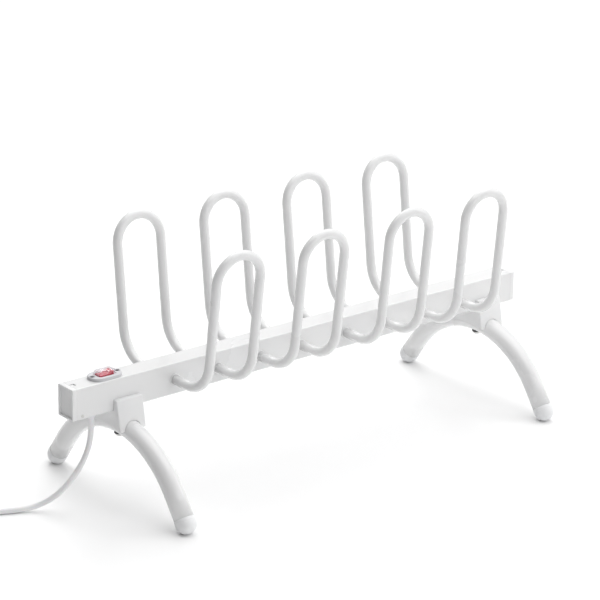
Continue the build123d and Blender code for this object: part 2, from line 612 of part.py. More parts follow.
def make_plug():
    """Angled earthed plug lying on its back: round body and tapered strain relief."""
    x, y, _ = plug_place()
    body = Pos(x, y, PLUG_HEIGHT / 2) * Cylinder(PLUG_RADIUS, PLUG_HEIGHT)
    body = fillet(body.edges().group_by(Axis.Z)[0], 5.0)
    body = fillet(body.edges().group_by(Axis.Z)[-1], 0.8)
    for sign in (-1, 1):
        way = Vector(HANK_WAY[0], HANK_WAY[1], 0)
        spot = Vector(x, y, PLUG_HEIGHT) + way * (sign * (PLUG_RADIUS + 0.6))
        body -= Plane(spot, x_dir=way, z_dir=(0, 0, 1)) * Box(5.2, 6.4, 2 * PLUG_HEIGHT - 16)
    start = Vector(on_hank(HANK_HALF + HANK_FOLD, TAIL_END, PLUG_ENTRY))
    across = Vector(*plug_place()) - Vector(start.X, start.Y, 0)
    relief = Plane(start, z_dir=across) * Pos(0, 0, (RELIEF_LENGTH + 1) / 2) * Cone(5.0, 8.4, RELIEF_LENGTH + 1)
    return body + relief


def make_plug_pins():
    """Two round pins, 19 apart, and the pair of side contacts."""
    x, y, _ = plug_place()
    across = Vector(HANK_WAY[1], -HANK_WAY[0], 0)
    pins = []
    for sign in (-1, 1):
        foot = Vector(x, y, PLUG_HEIGHT) + across * (sign * 9.5)
        pin = rod(foot, foot + Vector(0, 0, 19), 2.4)
        pins.append(fillet(pin.edges().group_by(Axis.Z)[-1], 1.2))
    return pins


def make_plug_contacts():
    x, y, _ = plug_place()
    way = Vector(HANK_WAY[0], HANK_WAY[1], 0)
    strips = []
    for sign in (-1, 1):
        spot = Vector(x, y, PLUG_HEIGHT - 4.5) + way * (sign * (PLUG_RADIUS - 1.5))
        strips.append(Plane(spot, x_dir=way, z_dir=(0, 0, 1)) * Box(1.0, 5.0, 9.0))
    return strips


# ---- small fasteners ----------------------------------------------------------------
def make_earth_screw():
    """Earth rivet in the front wall, with its ring terminal inside."""
    face = -RAIL_WIDTH / 2
    head = Plane((EARTH_SCREW_X, face, EARTH_SCREW_Z), z_dir=(0, -1, 0)) * Pos(0, 0, 0.5) * Cone(2.1, 1.3, 1.0)
    shank = rod((EARTH_SCREW_X, face, EARTH_SCREW_Z), (EARTH_SCREW_X, face + 6, EARTH_SCREW_Z), 1.4)
    return head + shank


def make_earth_ring():
    y = -RAIL_WIDTH / 2 + RAIL_WALL + 2.1
    ring = rod((EARTH_SCREW_X, y, EARTH_SCREW_Z), (EARTH_SCREW_X, y + 0.8, EARTH_SCREW_Z), 2.4)
    tongue = cuboid(EARTH_SCREW_X, EARTH_SCREW_X + 8, y, y + 0.8, EARTH_SCREW_Z - 1.2, EARTH_SCREW_Z + 1.2)
    return ring + tongue - rod((EARTH_SCREW_X, y - 1, EARTH_SCREW_Z), (EARTH_SCREW_X, y + 2, EARTH_SCREW_Z), 1.45)


# ---- every node ---------------------------------------------------------------------
def build():
    parts = {"rail": make_rail()}
    parts["end_cap_right"] = make_end_cap()
    parts["end_cap_left"] = mirrored(parts["end_cap_right"])
    for side, number, x, lean in HOOPS:
        parts[f"{side}_hoop_{number}"] = make_hoop(x, side, lean)
        parts[f"{side}_heating_cable_{number}"] = make_heating_cable(x, side, lean)
    parts["cable_crimps"] = make_crimps()
    parts["link_wires"] = make_link_wires()
    parts["thermal_fuse"] = make_thermal_fuse()
    parts["terminal_block"] = make_terminal_block()
    parts["terminal_screws"] = make_terminal_screws()
    leg, foot, saddle = make_leg(), make_foot(), make_saddle()
    for name, x in zip(ENDS, LEG_XS):
        parts[f"leg_{name}"] = Pos(x, 0, 0) * leg
        parts[f"foot_{name}_rear"] = Pos(x, 0, 0) * foot
        parts[f"foot_{name}_front"] = Pos(x, 0, 0) * mirror(foot, about=Plane.XZ)
        parts[f"saddle_{name}"] = Pos(x, 0, 0) * saddle
    for name, piece in (("leg_bolts", make_leg_bolt()), ("leg_washers", make_leg_washer()),
                        ("leg_nuts", make_leg_nut())):
        parts[name] = [Pos(x, 0, 0) * piece for x in LEG_XS]
    at_switch = Pos(SWITCH_X, 0, 0)
    parts["switch_bezel"] = at_switch * make_bezel()
    parts["switch_housing"] = at_switch * make_switch_housing()
    parts["switch_terminals"] = [at_switch * blade for blade in make_switch_terminals()]
    parts["switch_lamp"] = at_switch * make_switch_lamp()
    parts["switch_rocker"] = at_switch * make_rocker()
    parts["switch_cover"] = at_switch * make_splash_cover()
    parts["switch_screws"] = [Pos(x, 0, 0) * make_switch_screw() for x in SWITCH_SCREW_XS]
    parts["earth_screw"] = make_earth_screw()
    parts["earth_ring"] = make_earth_ring()
    parts["cord_gland"] = Pos(CORD_X, 0, 0) * make_gland()
    parts["cord_end"] = make_cord_end()
    parts["supply_cores"] = make_supply_cores()
    parts["switch_wires"] = make_switch_wires()
    for name, route in (("cord_lead", LEAD_ROUTE), ("cord_tail", TAIL_ROUTE)):
        path, radii = soft_path(route)
        parts[name] = pipe(path, CORD_RADIUS)
        print(name, "radii", [round(r, 1) for r in radii], "length", round(path.length, 1),
              "volume ratio", round(parts[name].volume / (pi * CORD_RADIUS**2 * path.length), 4))
    parts["cord_hank"] = make_hank()
    parts["cord_tie"] = make_tie()
    parts["plug_body"] = make_plug()
    parts["plug_pins"] = make_plug_pins()
    parts["plug_contacts"] = make_plug_contacts()
    return parts


def main():
    os.makedirs("parts", exist_ok=True)
    for name, shape in build().items():
        if isinstance(shape, list):
            shape = Compound(children=shape)
        shape.label = name
        export_step(shape, f"parts/{name}.step")
    print("rail from", round(RAIL_BOTTOM, 2), "to", round(RAIL_TOP, 2), "leg top", round(LEG_TOP, 2))


main()
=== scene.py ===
# %% [markdown]
# # Electric boot dryer
# A white steel rail stands on two arched legs and carries eight bent tube hoops. Boots
# and gloves are hung over the hoops, and a heating cable inside each tube dries them.
# This lesson builds the looks around a fixed frame that already holds every part at its
# real size. Each step says what a piece is, how it could be made, and why it is made so.

import json
import math

import bmesh
import bpy
from mathutils import Matrix, Vector


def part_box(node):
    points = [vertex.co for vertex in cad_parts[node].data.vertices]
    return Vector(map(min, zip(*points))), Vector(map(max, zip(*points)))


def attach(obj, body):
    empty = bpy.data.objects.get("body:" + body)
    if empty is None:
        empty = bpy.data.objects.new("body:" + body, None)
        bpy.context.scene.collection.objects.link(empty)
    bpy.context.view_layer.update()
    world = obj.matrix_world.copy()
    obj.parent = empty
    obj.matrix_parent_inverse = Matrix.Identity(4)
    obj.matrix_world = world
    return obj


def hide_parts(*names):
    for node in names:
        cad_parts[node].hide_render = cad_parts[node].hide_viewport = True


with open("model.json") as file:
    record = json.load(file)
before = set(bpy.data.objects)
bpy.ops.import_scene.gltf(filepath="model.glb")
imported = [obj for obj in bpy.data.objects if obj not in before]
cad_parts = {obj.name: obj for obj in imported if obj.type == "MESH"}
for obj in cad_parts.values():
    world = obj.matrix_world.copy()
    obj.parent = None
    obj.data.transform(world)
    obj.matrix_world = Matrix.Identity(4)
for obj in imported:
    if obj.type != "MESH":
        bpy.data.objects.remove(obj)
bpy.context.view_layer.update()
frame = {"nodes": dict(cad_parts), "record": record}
bpy.ops.object.select_all(action="DESELECT")
nodes = frame["nodes"]

# %% [markdown]
# ## Units and small helpers
# Blender works in metres, and the drawings of such a product are in millimetres, so one
# value turns one into the other. The helpers below do what a hand does in the viewport:
# select one thing, or select the corners, edges or faces at some place.

# %% Helpers
MM = 0.001


def mm(*numbers):
    """A point or a vector given in millimetres."""
    return Vector(numbers) * MM


def work_on(piece):
    """Select this piece alone and make it active."""
    bpy.ops.object.select_all(action="DESELECT")
    piece.select_set(True)
    bpy.context.view_layer.objects.active = piece
    return piece


def newest(name):
    """Name the primitive that was just added and put its place into its mesh."""
    piece = bpy.context.object
    piece.name = name
    piece.data.name = name
    bpy.ops.object.transform_apply(location=True, rotation=True, scale=True)
    return piece


def pick(kind, test):
    """In edit mode, select only the corners, edges or faces that pass the test."""
    bpy.ops.mesh.select_mode(type=kind)
    bpy.ops.mesh.select_all(action="DESELECT")
    mesh = bmesh.from_edit_mesh(bpy.context.object.data)
    if kind == "VERT":
        chosen = [v for v in mesh.verts if test(v.co)]
    elif kind == "EDGE":
        chosen = [e for e in mesh.edges if test((e.verts[0].co + e.verts[1].co) / 2)]
    else:
        chosen = [f for f in mesh.faces if test(f.calc_center_median())]
    for item in chosen:
        item.select_set(True)
    mesh.select_flush_mode()
    bmesh.update_edit_mesh(bpy.context.object.data)
    return len(chosen)


def use(piece, kind, **settings):
    """Add a modifier with these settings and apply it."""
    work_on(piece)
    modifier = piece.modifiers.new(kind.title(), kind)
    for key, value in settings.items():
        setattr(modifier, key, value)
    bpy.ops.object.modifier_apply(modifier=modifier.name)
    return piece


def cut(piece, cutter):
    """Take one closed shape away from another and remove the cutter."""
    use(piece, "BOOLEAN", operation="DIFFERENCE", solver="EXACT", object=cutter)
    bpy.data.objects.remove(cutter)
    return piece


def smooth(piece, degrees=35):
    """Shade the round stretches smooth and keep the real corners sharp."""
    work_on(piece)
    bpy.ops.object.shade_smooth_by_angle(angle=math.radians(degrees))
    return piece


def joined(name, *parts):
    """One piece from several, named after what they are together."""
    bpy.ops.object.select_all(action="DESELECT")
    for part in parts:
        part.select_set(True)
    bpy.context.view_layer.objects.active = parts[0]
    bpy.ops.object.join()
    parts[0].name = parts[0].data.name = name
    return parts[0]


def middle(node):
    """The middle of the box round one of the frame's parts."""
    low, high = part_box(node)
    return (low + high) / 2


def finished(piece, finish, body="dryer", stands_for=()):
    """Give a piece its finish, the body it moves with and the parts it stands for."""
    piece.data.materials.clear()
    piece.data.materials.append(finish)
    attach(piece, body)
    if stands_for:
        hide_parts(*stands_for)
    if piece.type == "MESH":
        along = [[vertex.co[axis] / MM for vertex in piece.data.vertices] for axis in range(3)]
        print(piece.name, "size in mm:", [round(max(places) - min(places), 1) for places in along])
    return piece


# %% [markdown]
# ## Camera
# A product picture is taken from far away with a long lens, so that the near end of the
# rail doesn't look swollen. The camera stands in front of the left end, a little above,
# and it is turned by its heading, its dip and a small roll. Turning it by three matrices
# in that order is easier to follow than one set of Euler angles.

# %% Camera
CAMERA_PLACE = mm(-2061.09, -2506.01, 1360.90)
CAMERA_HEADING = math.radians(-39.442)
CAMERA_DIP = math.radians(19.781)
CAMERA_ROLL = math.radians(0.867)
CAMERA_LENS = 165.26

lens = bpy.data.cameras.new("product_camera")
lens.lens = CAMERA_LENS
lens.sensor_width = 36
lens.clip_start = 0.1
lens.clip_end = 60
camera = bpy.data.objects.new("product_camera", lens)
bpy.context.collection.objects.link(camera)
camera.matrix_world = (Matrix.Translation(CAMERA_PLACE)
                       @ Matrix.Rotation(CAMERA_HEADING, 4, "Z")
                       @ Matrix.Rotation(math.pi / 2 - CAMERA_DIP, 4, "X")
                       @ Matrix.Rotation(CAMERA_ROLL, 4, "Z"))
bpy.context.scene.camera = camera
print("camera", [round(c, 3) for c in camera.location])

# %% [markdown]
# ## Finishes
# Every finish starts from the same small kit: a noise pattern on Object coordinates, so
# that it stays put on the piece, a colour ramp or a range made from it, and a bump. What
# is the same all over, such as metal or gloss, is set on the shader itself.

# %% Finish kit
def new_finish(name, roughness, colour=(0.8, 0.8, 0.8), **sockets):
    """A material with one shader, its even values set on the shader's own sockets."""
    finish = bpy.data.materials.new(name)
    finish.use_nodes = True
    shader = finish.node_tree.nodes["Principled BSDF"]
    shader.inputs["Base Color"].default_value = (*colour, 1)
    shader.inputs["Roughness"].default_value = roughness
    for key, value in sockets.items():
        shader.inputs[key.replace("_", " ")].default_value = value
    return finish


def node(finish, kind, inputs=None, **settings):
    """A node with its settings, and with numbers or other nodes' outputs as inputs."""
    made = finish.node_tree.nodes.new(kind)
    for key, value in settings.items():
        setattr(made, key, value)
    for key, value in (inputs or {}).items():
        if isinstance(value, bpy.types.NodeSocket):
            finish.node_tree.links.new(value, made.inputs[key])
        else:
            made.inputs[key].default_value = value
    return made


def object_place(finish):
    """Places on the piece, measured from its own origin."""
    return node(finish, "ShaderNodeTexCoord").outputs["Object"]


def speckle(finish, scale, detail=3.0, stretch=(1, 1, 1), roughness=0.5):
    """Soft noise on the piece itself. Scale is in patches to the metre."""
    place = node(finish, "ShaderNodeMapping", {"Vector": object_place(finish), "Scale": stretch})
    noise = node(finish, "ShaderNodeTexNoise", {"Vector": place.outputs["Vector"], "Scale": scale,
                                                "Detail": detail, "Roughness": roughness})
    return noise.outputs["Fac"]


def spread(finish, pattern, low, high, start=0.3, end=0.7):
    """Turn a pattern into a range of numbers."""
    made = node(finish, "ShaderNodeMapRange", {"Value": pattern, "From Min": start, "From Max": end,
                                               "To Min": low, "To Max": high})
    return made.outputs["Result"]


def two_colours(finish, pattern, first, second, start=0.35, end=0.65):
    """Turn a pattern into a soft change between two colours."""
    ramp = node(finish, "ShaderNodeValToRGB", {"Fac": pattern})
    ramp.color_ramp.elements[0].position = start
    ramp.color_ramp.elements[1].position = end
    ramp.color_ramp.elements[0].color = (*first, 1)
    ramp.color_ramp.elements[1].color = (*second, 1)
    return ramp.outputs["Color"]


def bump(finish, pattern, height_mm, strength=1.0, onto=None):
    """Relief from a pattern, and on top of another relief if there is one."""
    inputs = {"Height": pattern, "Distance": height_mm * MM, "Strength": strength}
    if onto is not None:
        inputs["Normal"] = onto
    return node(finish, "ShaderNodeBump", inputs).outputs["Normal"]


def wire(finish, **outputs):
    """Join outputs to the shader's sockets by name."""
    shader = finish.node_tree.nodes["Principled BSDF"]
    for key, value in outputs.items():
        finish.node_tree.links.new(value, shader.inputs[key.replace("_", " ")])
    return finish


# %% [markdown]
# ### White stove enamel
# The rail, the hoops and the legs are steel, sprayed white and baked. Such paint is
# never quite flat: it has a faint orange peel of one or two millimetres, finer dust
# grain, and its gloss changes a little along the tube. All three are noise at their own
# real scale. A colour change of one or two per cent keeps it from looking like plaster.

# %% Enamel
def enamel(name, tone):
    """White paint with orange peel, dust and a slow drift in its gloss."""
    finish = new_finish(name, 0.2, Coat_Weight=0.35, Coat_Roughness=0.08, Coat_IOR=1.5)
    peel = speckle(finish, 520, detail=2)
    dust = speckle(finish, 3200, detail=2)
    drift = speckle(finish, 9, detail=4)
    bright = tuple(tone * c for c in (1.0, 1.0, 1.0))
    shade = tuple(tone * c for c in (0.972, 0.975, 0.98))
    relief = bump(finish, peel, 0.035, 0.35)
    return wire(finish, Base_Color=two_colours(finish, drift, bright, shade),
                Roughness=spread(finish, drift, 0.2, 0.3),
                Normal=bump(finish, dust, 0.006, 0.3, onto=relief))


paint = enamel("white_enamel", 0.80)
print("enamel ready")

# %% [markdown]
# ### Moulded plastics
# The saddles, end caps and foot caps are moulded plastic. A mould is spark-etched, so
# the part has a fine even grain and a broader, softer highlight than paint. One function
# makes every plastic here, from its two colours, its gloss and the size of its grain.

# %% Plastics
def moulded(name, colour, shade, gloss=(0.38, 0.5), grain_mm=0.45, depth_mm=0.02, **sockets):
    """Plastic from a spark-etched mould."""
    finish = new_finish(name, gloss[0], **sockets)
    etched = speckle(finish, 1000 / grain_mm, detail=3, roughness=0.6)
    flow = speckle(finish, 28, detail=3)
    relief = bump(finish, flow, 0.08, 0.15)
    return wire(finish, Base_Color=two_colours(finish, flow, colour, shade),
                Roughness=spread(finish, etched, gloss[0], gloss[1]),
                Normal=bump(finish, etched, depth_mm, 0.45, onto=relief))


saddle_plastic = moulded("white_moulding", (0.82, 0.82, 0.82), (0.795, 0.798, 0.802))
foot_plastic = moulded("foot_moulding", (0.87, 0.875, 0.88), (0.83, 0.835, 0.845), gloss=(0.4, 0.55))
bezel_plastic = moulded("grey_moulding", (0.62, 0.62, 0.64), (0.58, 0.58, 0.60), gloss=(0.28, 0.4),
                        grain_mm=0.3)
dark_plastic = moulded("black_moulding", (0.028, 0.028, 0.03), (0.02, 0.02, 0.022), gloss=(0.35, 0.5))
nylon = moulded("clear_nylon", (0.7, 0.69, 0.64), (0.66, 0.65, 0.6), Transmission_Weight=0.3)
print("plastics ready")

# %% [markdown]
# ### Cord sheath
# A mains lead has a soft PVC sheath. It is satin, a little greyer than the paint, and
# the twisted cores inside press long shallow waves through it. The waves are noise of a
# few millimetres, the same across as along, with a rubbed dust grain on top.

# %% Sheath
def sheath(name, tone):
    """Soft PVC over twisted cores."""
    finish = new_finish(name, 0.4, Subsurface_Weight=0.08, Subsurface_Scale=0.002)
    rubbed = speckle(finish, 1400, detail=3)
    cores = speckle(finish, 160, detail=1)
    drift = speckle(finish, 30, detail=3)
    relief = bump(finish, cores, 0.12, 0.3)
    return wire(finish,
                Base_Color=two_colours(finish, drift, (tone, tone, tone * 1.01),
                                       (tone * 0.93, tone * 0.93, tone * 0.95)),
                Roughness=spread(finish, rubbed, 0.36, 0.5),
                Normal=bump(finish, rubbed, 0.01, 0.4, onto=relief))


cord_sheath = sheath("cord_sheath", 0.88)
core_jacket = sheath("core_jacket", 0.3)
tube_sleeve = sheath("silicone_jacket", 0.34)
print("sheaths ready")

# %% [markdown]
# ### Metals
# Screws and washers are zinc plated, pins are nickel plated, terminals are brass and the
# wire ends are tinned. Each is the same recipe: a metal shader, a finely brushed noise in
# the roughness and a faint cloud in the colour where the plating has aged.

# %% Metals
def plated(name, colour, shade, gloss, brush=(1, 1, 6)):
    """Brushed and plated metal."""
    finish = new_finish(name, gloss, Metallic=1.0)
    brushed = speckle(finish, 900, detail=4, stretch=brush)
    aged = speckle(finish, 160, detail=4)
    return wire(finish, Base_Color=two_colours(finish, aged, colour, shade),
                Roughness=spread(finish, brushed, gloss, gloss + 0.16),
                Normal=bump(finish, brushed, 0.006, 0.35))


zinc = plated("zinc_plate", (0.72, 0.72, 0.70), (0.62, 0.62, 0.61), 0.34)
black_zinc = plated("black_plate", (0.10, 0.10, 0.105), (0.07, 0.07, 0.075), 0.35)
nickel = plated("nickel_plate", (0.72, 0.69, 0.62), (0.64, 0.60, 0.53), 0.16)
brass = plated("brass", (0.78, 0.58, 0.28), (0.66, 0.46, 0.2), 0.26)
tin = plated("tinned_copper", (0.66, 0.62, 0.57), (0.58, 0.52, 0.47), 0.34)
print("metals ready")

# %% [markdown]
# ### The lit switch
# The rocker is red see-through plastic with a neon lamp behind it, and a clear soft
# cover keeps water out. Real clear plastic shows by its edges and its reflections, so it
# keeps a thin wall, lets light through, and has a faint cool tint and small waves.

# %% Switch finishes
def see_through(name, colour, gloss, clearness, alpha, wave_mm=3.0, **sockets):
    """Clear or tinted plastic with small waves and scuffs."""
    finish = new_finish(name, gloss, colour=colour, Transmission_Weight=clearness, Alpha=alpha, **sockets)
    waves = speckle(finish, 1000 / wave_mm, detail=2)
    scuffs = speckle(finish, 1800, detail=4)
    relief = bump(finish, waves, 0.08, 0.4)
    return wire(finish, Roughness=spread(finish, scuffs, gloss, gloss + 0.08),
                Normal=bump(finish, scuffs, 0.004, 0.3, onto=relief))


red_key = see_through("red_key", (0.78, 0.012, 0.045), 0.08, 0.3, 1.0,
                      Subsurface_Weight=0.3, Subsurface_Scale=0.004, Coat_Weight=0.6)
clear_cover = see_through("clear_cover", (0.90, 0.87, 0.98), 0.05, 0.85, 0.24, IOR=1.45)
lamp_glass = see_through("lamp_glass", (0.95, 0.62, 0.42), 0.05, 0.8, 1.0)
print("switch finishes ready")

# %% [markdown]
# ### Hook-and-loop strap
# The strap that holds the spare cord is woven: tiny ribs one way crossed by ribs the
# other way. Two wave patterns at right angles make the weave, and sheen makes its nap.

# %% Strap finish
def woven(name, colour, shade, rib_mm=0.9):
    """Cloth with ribs both ways and a short nap."""
    finish = new_finish(name, 0.8, Sheen_Weight=0.35, Sheen_Roughness=0.4)
    place = object_place(finish)
    waves = {"Vector": place, "Scale": 1000 / rib_mm / 20, "Distortion": 0.6, "Detail": 1.0}
    ribs = [node(finish, "ShaderNodeTexWave", waves, bands_direction=way).outputs["Fac"]
            for way in ("Z", "DIAGONAL")]
    weave = node(finish, "ShaderNodeMath", {0: ribs[0], 1: ribs[1]}, operation="MULTIPLY").outputs["Value"]
    fuzz = speckle(finish, 2600, detail=4)
    relief = bump(finish, weave, 0.25, 0.7)
    return wire(finish, Base_Color=two_colours(finish, weave, colour, shade, 0.1, 0.8),
                Normal=bump(finish, fuzz, 0.08, 0.6, onto=relief))


strap = woven("woven_strap", (0.55, 0.55, 0.56), (0.40, 0.40, 0.41))
print("strap ready")

# %% [markdown]
# ## Carried-over parts
# The wires, the terminal block and the fasteners are right as they are, so they keep
# their shape and only take a finish. The record says which material each part has, and
# a short table joins that name to a finish made above.

# %% Finishes on the frame's own parts
FINISH_OF = {
    "white_paint": paint, "white_plastic": saddle_plastic, "tinned_copper": tin,
    "silicone_red": tube_sleeve, "fuse_sleeve": core_jacket, "clear_nylon": nylon, "zinc_steel": zinc,
    "black_steel": black_zinc, "grey_plastic": bezel_plastic, "black_plastic": dark_plastic, "brass": brass,
    "lamp_glass": lamp_glass, "red_translucent": red_key, "clear_pvc": clear_cover, "core_pvc": core_jacket,
    "cord_pvc": cord_sheath, "tie_fabric": strap, "plug_nickel": nickel,
}

SLOT_OF = {part["node"]: part["material_slot"] for part in frame["record"]["subparts"]}
for name, part in nodes.items():
    for place in part.material_slots:
        place.link = "OBJECT"
        place.material = FINISH_OF[SLOT_OF[name]]
print("finishes on", len(nodes), "parts")

# %% [markdown]
# ## Turned parts
# Many small parts are round: screws, feet, the cord's gland and the plug. A hand would
# draw a circle and then extrude and scale it ring by ring up the outline. This helper
# does exactly that along any axis, so each part only has to give its own outline.

# %% Turning helper
def turned(name, foot, axis, outline, sides=40):
    """A round piece from rings (distance along the axis, radius), in millimetres."""
    axis = Vector(axis).normalized()
    foot = Vector(foot)
    turn = Vector((0, 0, 1)).rotation_difference(axis).to_euler()
    start, radius = outline[0]
    here = foot + axis * start * MM
    bpy.ops.object.select_all(action="DESELECT")
    bpy.ops.mesh.primitive_circle_add(vertices=sides, radius=radius * MM, location=here, rotation=turn,
                                      fill_type="NGON")
    piece = newest(name)
    bpy.ops.object.mode_set(mode="EDIT")
    bpy.ops.mesh.select_all(action="SELECT")
    bpy.ops.mesh.flip_normals()
    for along, ring in outline[1:]:
        bpy.ops.mesh.extrude_region_move(TRANSFORM_OT_translate={"value": axis * (along - start) * MM})
        start = along
        here = foot + axis * start * MM
        bpy.ops.transform.resize(value=(ring / radius,) * 3, center_override=here)
        radius = ring
    bpy.ops.mesh.edge_face_add()
    bpy.ops.mesh.select_all(action="SELECT")
    bpy.ops.mesh.normals_make_consistent(inside=False)
    bpy.ops.object.mode_set(mode="OBJECT")
    return smooth(piece)

# %% [markdown]
# ## Hoops
# Each hoop is one 12 mm tube: out of the rail, round a knee, up at a slight lean, over a
# half circle and back. A curve with a round bevel would do, but drawing it as a hand
# bends it teaches more: a ring of corners is extruded along the straight runs and spun
# about the middle of each bend, so every bend gets even rings and clean quads.

# %% Bend sizes
RAIL_LOW, RAIL_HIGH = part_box("rail")
RAIL_HALF = RAIL_HIGH.y
HOOP_TUBE = 6.0 * MM
HOOP_REACH = 79.6 * MM
HOOP_KNEE = 43.3 * MM
HOOP_LEG = 143.5 * MM
HOOP_ROOT = RAIL_LOW.z + 19.2 * MM
LEANS = {"front": (7.0, 6.6, 5.9, 5.1), "rear": (6.1, 6.8, 7.0, 7.1)}
SIDES = 36
TUBE_INTO_RAIL = 1.5 * MM
BEAD_RIPPLES = 17
BEAD_RING = HOOP_TUBE + 0.35 * MM
BEAD_ROUND = 1.25 * MM
BEAD_PROUD = 1.7 * MM


def extrude_ring(step):
    """Push the selected ring or face on by this step."""
    bpy.ops.mesh.extrude_region_move(TRANSFORM_OT_translate={"value": step})


def spin_ring(centre, axis, angle, steps):
    """Sweep the open ring about an axis. The operator counts its angle clockwise."""
    bpy.ops.mesh.spin(steps=steps, angle=-angle, center=centre, axis=axis)


def weld_bead(name, spot):
    """A lumpy ring of weld metal, like a stack of small coins, round the root of a tube."""
    bpy.ops.object.select_all(action="DESELECT")
    bpy.ops.mesh.primitive_torus_add(location=spot, rotation=(math.radians(90), 0, 0), major_segments=120,
                                     minor_segments=12, major_radius=BEAD_RING,
                                     minor_radius=BEAD_ROUND)
    bead = newest(name)
    for vertex in bead.data.vertices:
        arm = vertex.co - spot
        turn = math.atan2(arm.z, arm.x)
        swell = 1 + 0.05 * math.cos(BEAD_RIPPLES * turn + 0.6 * math.sin(3 * turn + spot.x * 90))
        round_centre = Vector((math.cos(turn), 0, math.sin(turn))) * BEAD_RING
        vertex.co = spot + round_centre + (arm - round_centre) * swell * (1.0 + 0.12 * math.sin(2 * turn))
    return bead


def make_hoop(name, out, lean):
    """One hoop and its two weld beads, from the box round its part of the frame."""
    low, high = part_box(name)
    left, right = low.x + (HOOP_TUBE + BEAD_PROUD), high.x - (HOOP_TUBE + BEAD_PROUD)
    half_gap = (right - left) / 2
    lean = math.radians(lean)
    bend = math.pi / 2 - lean
    tangent = HOOP_KNEE * math.tan(bend / 2)
    up = Vector((0, out * math.sin(lean), math.cos(lean)))
    knee_y = out * (HOOP_REACH - tangent)
    knee_z = HOOP_ROOT + HOOP_KNEE
    top = Vector((left + half_gap, out * HOOP_REACH, HOOP_ROOT)) + up * HOOP_LEG
    root = Vector((left, out * (RAIL_HALF - TUBE_INTO_RAIL), HOOP_ROOT))
    bpy.ops.object.select_all(action="DESELECT")
    bpy.ops.mesh.primitive_circle_add(vertices=SIDES, radius=HOOP_TUBE, location=root,
                                      rotation=(math.radians(90), 0, 0))
    hoop = newest(f"{name}_tube")
    bpy.ops.object.mode_set(mode="EDIT")
    bpy.ops.mesh.select_all(action="SELECT")
    extrude_ring(Vector((0, knee_y - root.y, 0)))
    spin_ring((left, knee_y, knee_z), (out, 0, 0), bend, 16)
    extrude_ring(up * (HOOP_LEG - tangent))
    spin_ring(top, (0, up.z, -up.y), math.pi, 32)
    extrude_ring(-up * (HOOP_LEG - tangent))
    spin_ring((right, knee_y, knee_z), (-out, 0, 0), bend, 16)
    extrude_ring(Vector((0, root.y - knee_y, 0)))
    bpy.ops.mesh.select_all(action="SELECT")
    bpy.ops.mesh.remove_doubles(threshold=1e-6)
    bpy.ops.mesh.fill_holes(sides=0)
    bpy.ops.mesh.normals_make_consistent(inside=False)
    bpy.ops.object.mode_set(mode="OBJECT")
    bead_y = out * (RAIL_HALF + 0.2 * MM)
    beads = [weld_bead(f"{name}_bead", Vector((x, bead_y, HOOP_ROOT))) for x in (left, right)]
    hoop = joined(f"{name}_tube", hoop, *beads)
    bpy.ops.object.shade_smooth()
    return finished(hoop, paint, stands_for=(name,))


# %% Eight hoops
for row, out in (("front", -1), ("rear", 1)):
    for number, lean in enumerate(LEANS[row], 1):
        make_hoop(f"{row}_hoop_{number}", out, lean)

# %% [markdown]
# ## Legs
# A leg is one 25 mm tube bent to an arch, with a short straight end above each foot. The
# same ring of corners is extruded up the front end, spun over the top and extruded down
# at the back.

# %% Leg arches
LEG_TUBE = 12.5 * MM
LEG_BEND = 138.0 * MM
LEG_SWEEP = math.radians(54)
LEG_PEAK = 98.31 * MM
LEG_CENTRE_Z = LEG_PEAK - LEG_BEND
LEG_STRAIGHT = 30.0 * MM
UP_LEG = Vector((0, math.cos(LEG_SWEEP), math.sin(LEG_SWEEP)))


def make_leg(side):
    """One arch, from the front foot over the top to the rear foot."""
    x = middle(f"leg_{side}").x
    bend_start = Vector((x, -LEG_BEND * math.sin(LEG_SWEEP), LEG_CENTRE_Z + LEG_BEND * math.cos(LEG_SWEEP)))
    bpy.ops.object.select_all(action="DESELECT")
    bpy.ops.mesh.primitive_circle_add(vertices=48, radius=LEG_TUBE,
                                      location=bend_start - UP_LEG * LEG_STRAIGHT,
                                      rotation=(LEG_SWEEP - math.pi / 2, 0, 0))
    leg = newest(f"leg_{side}_arch")
    bpy.ops.object.mode_set(mode="EDIT")
    bpy.ops.mesh.select_all(action="SELECT")
    extrude_ring(UP_LEG * LEG_STRAIGHT)
    spin_ring((x, 0, LEG_CENTRE_Z), (-1, 0, 0), 2 * LEG_SWEEP, 48)
    extrude_ring(Vector((0, UP_LEG.y, -UP_LEG.z)) * LEG_STRAIGHT)
    bpy.ops.mesh.select_all(action="SELECT")
    bpy.ops.mesh.remove_doubles(threshold=1e-6)
    bpy.ops.mesh.fill_holes(sides=0)
    bpy.ops.mesh.normals_make_consistent(inside=False)
    bpy.ops.object.mode_set(mode="OBJECT")
    bpy.ops.object.shade_smooth()
    return finished(leg, paint, stands_for=(f"leg_{side}",))


for side in ("left", "right"):
    make_leg(side)

# %% [markdown]
# ## Feet
# Each leg ends in a moulded ball cap that stands a little proud of the tube, with a thin
# seam where they meet. It is turned from its outline: a quarter circle down to the sole,
# a short straight collar and a lip that rolls into the tube. The ball leans with the leg
# while its sole is level, so the sole is cut off afterwards by bisecting at the floor.

# %% Foot caps
FOOT_BALL = 12.9
FOOT_COLLAR = 6.5
FOOT_LIP = 0.45
SEAM_DEPTH = 0.22
BALL_STEPS = 14
BALL_HEIGHT = 11.89 * MM


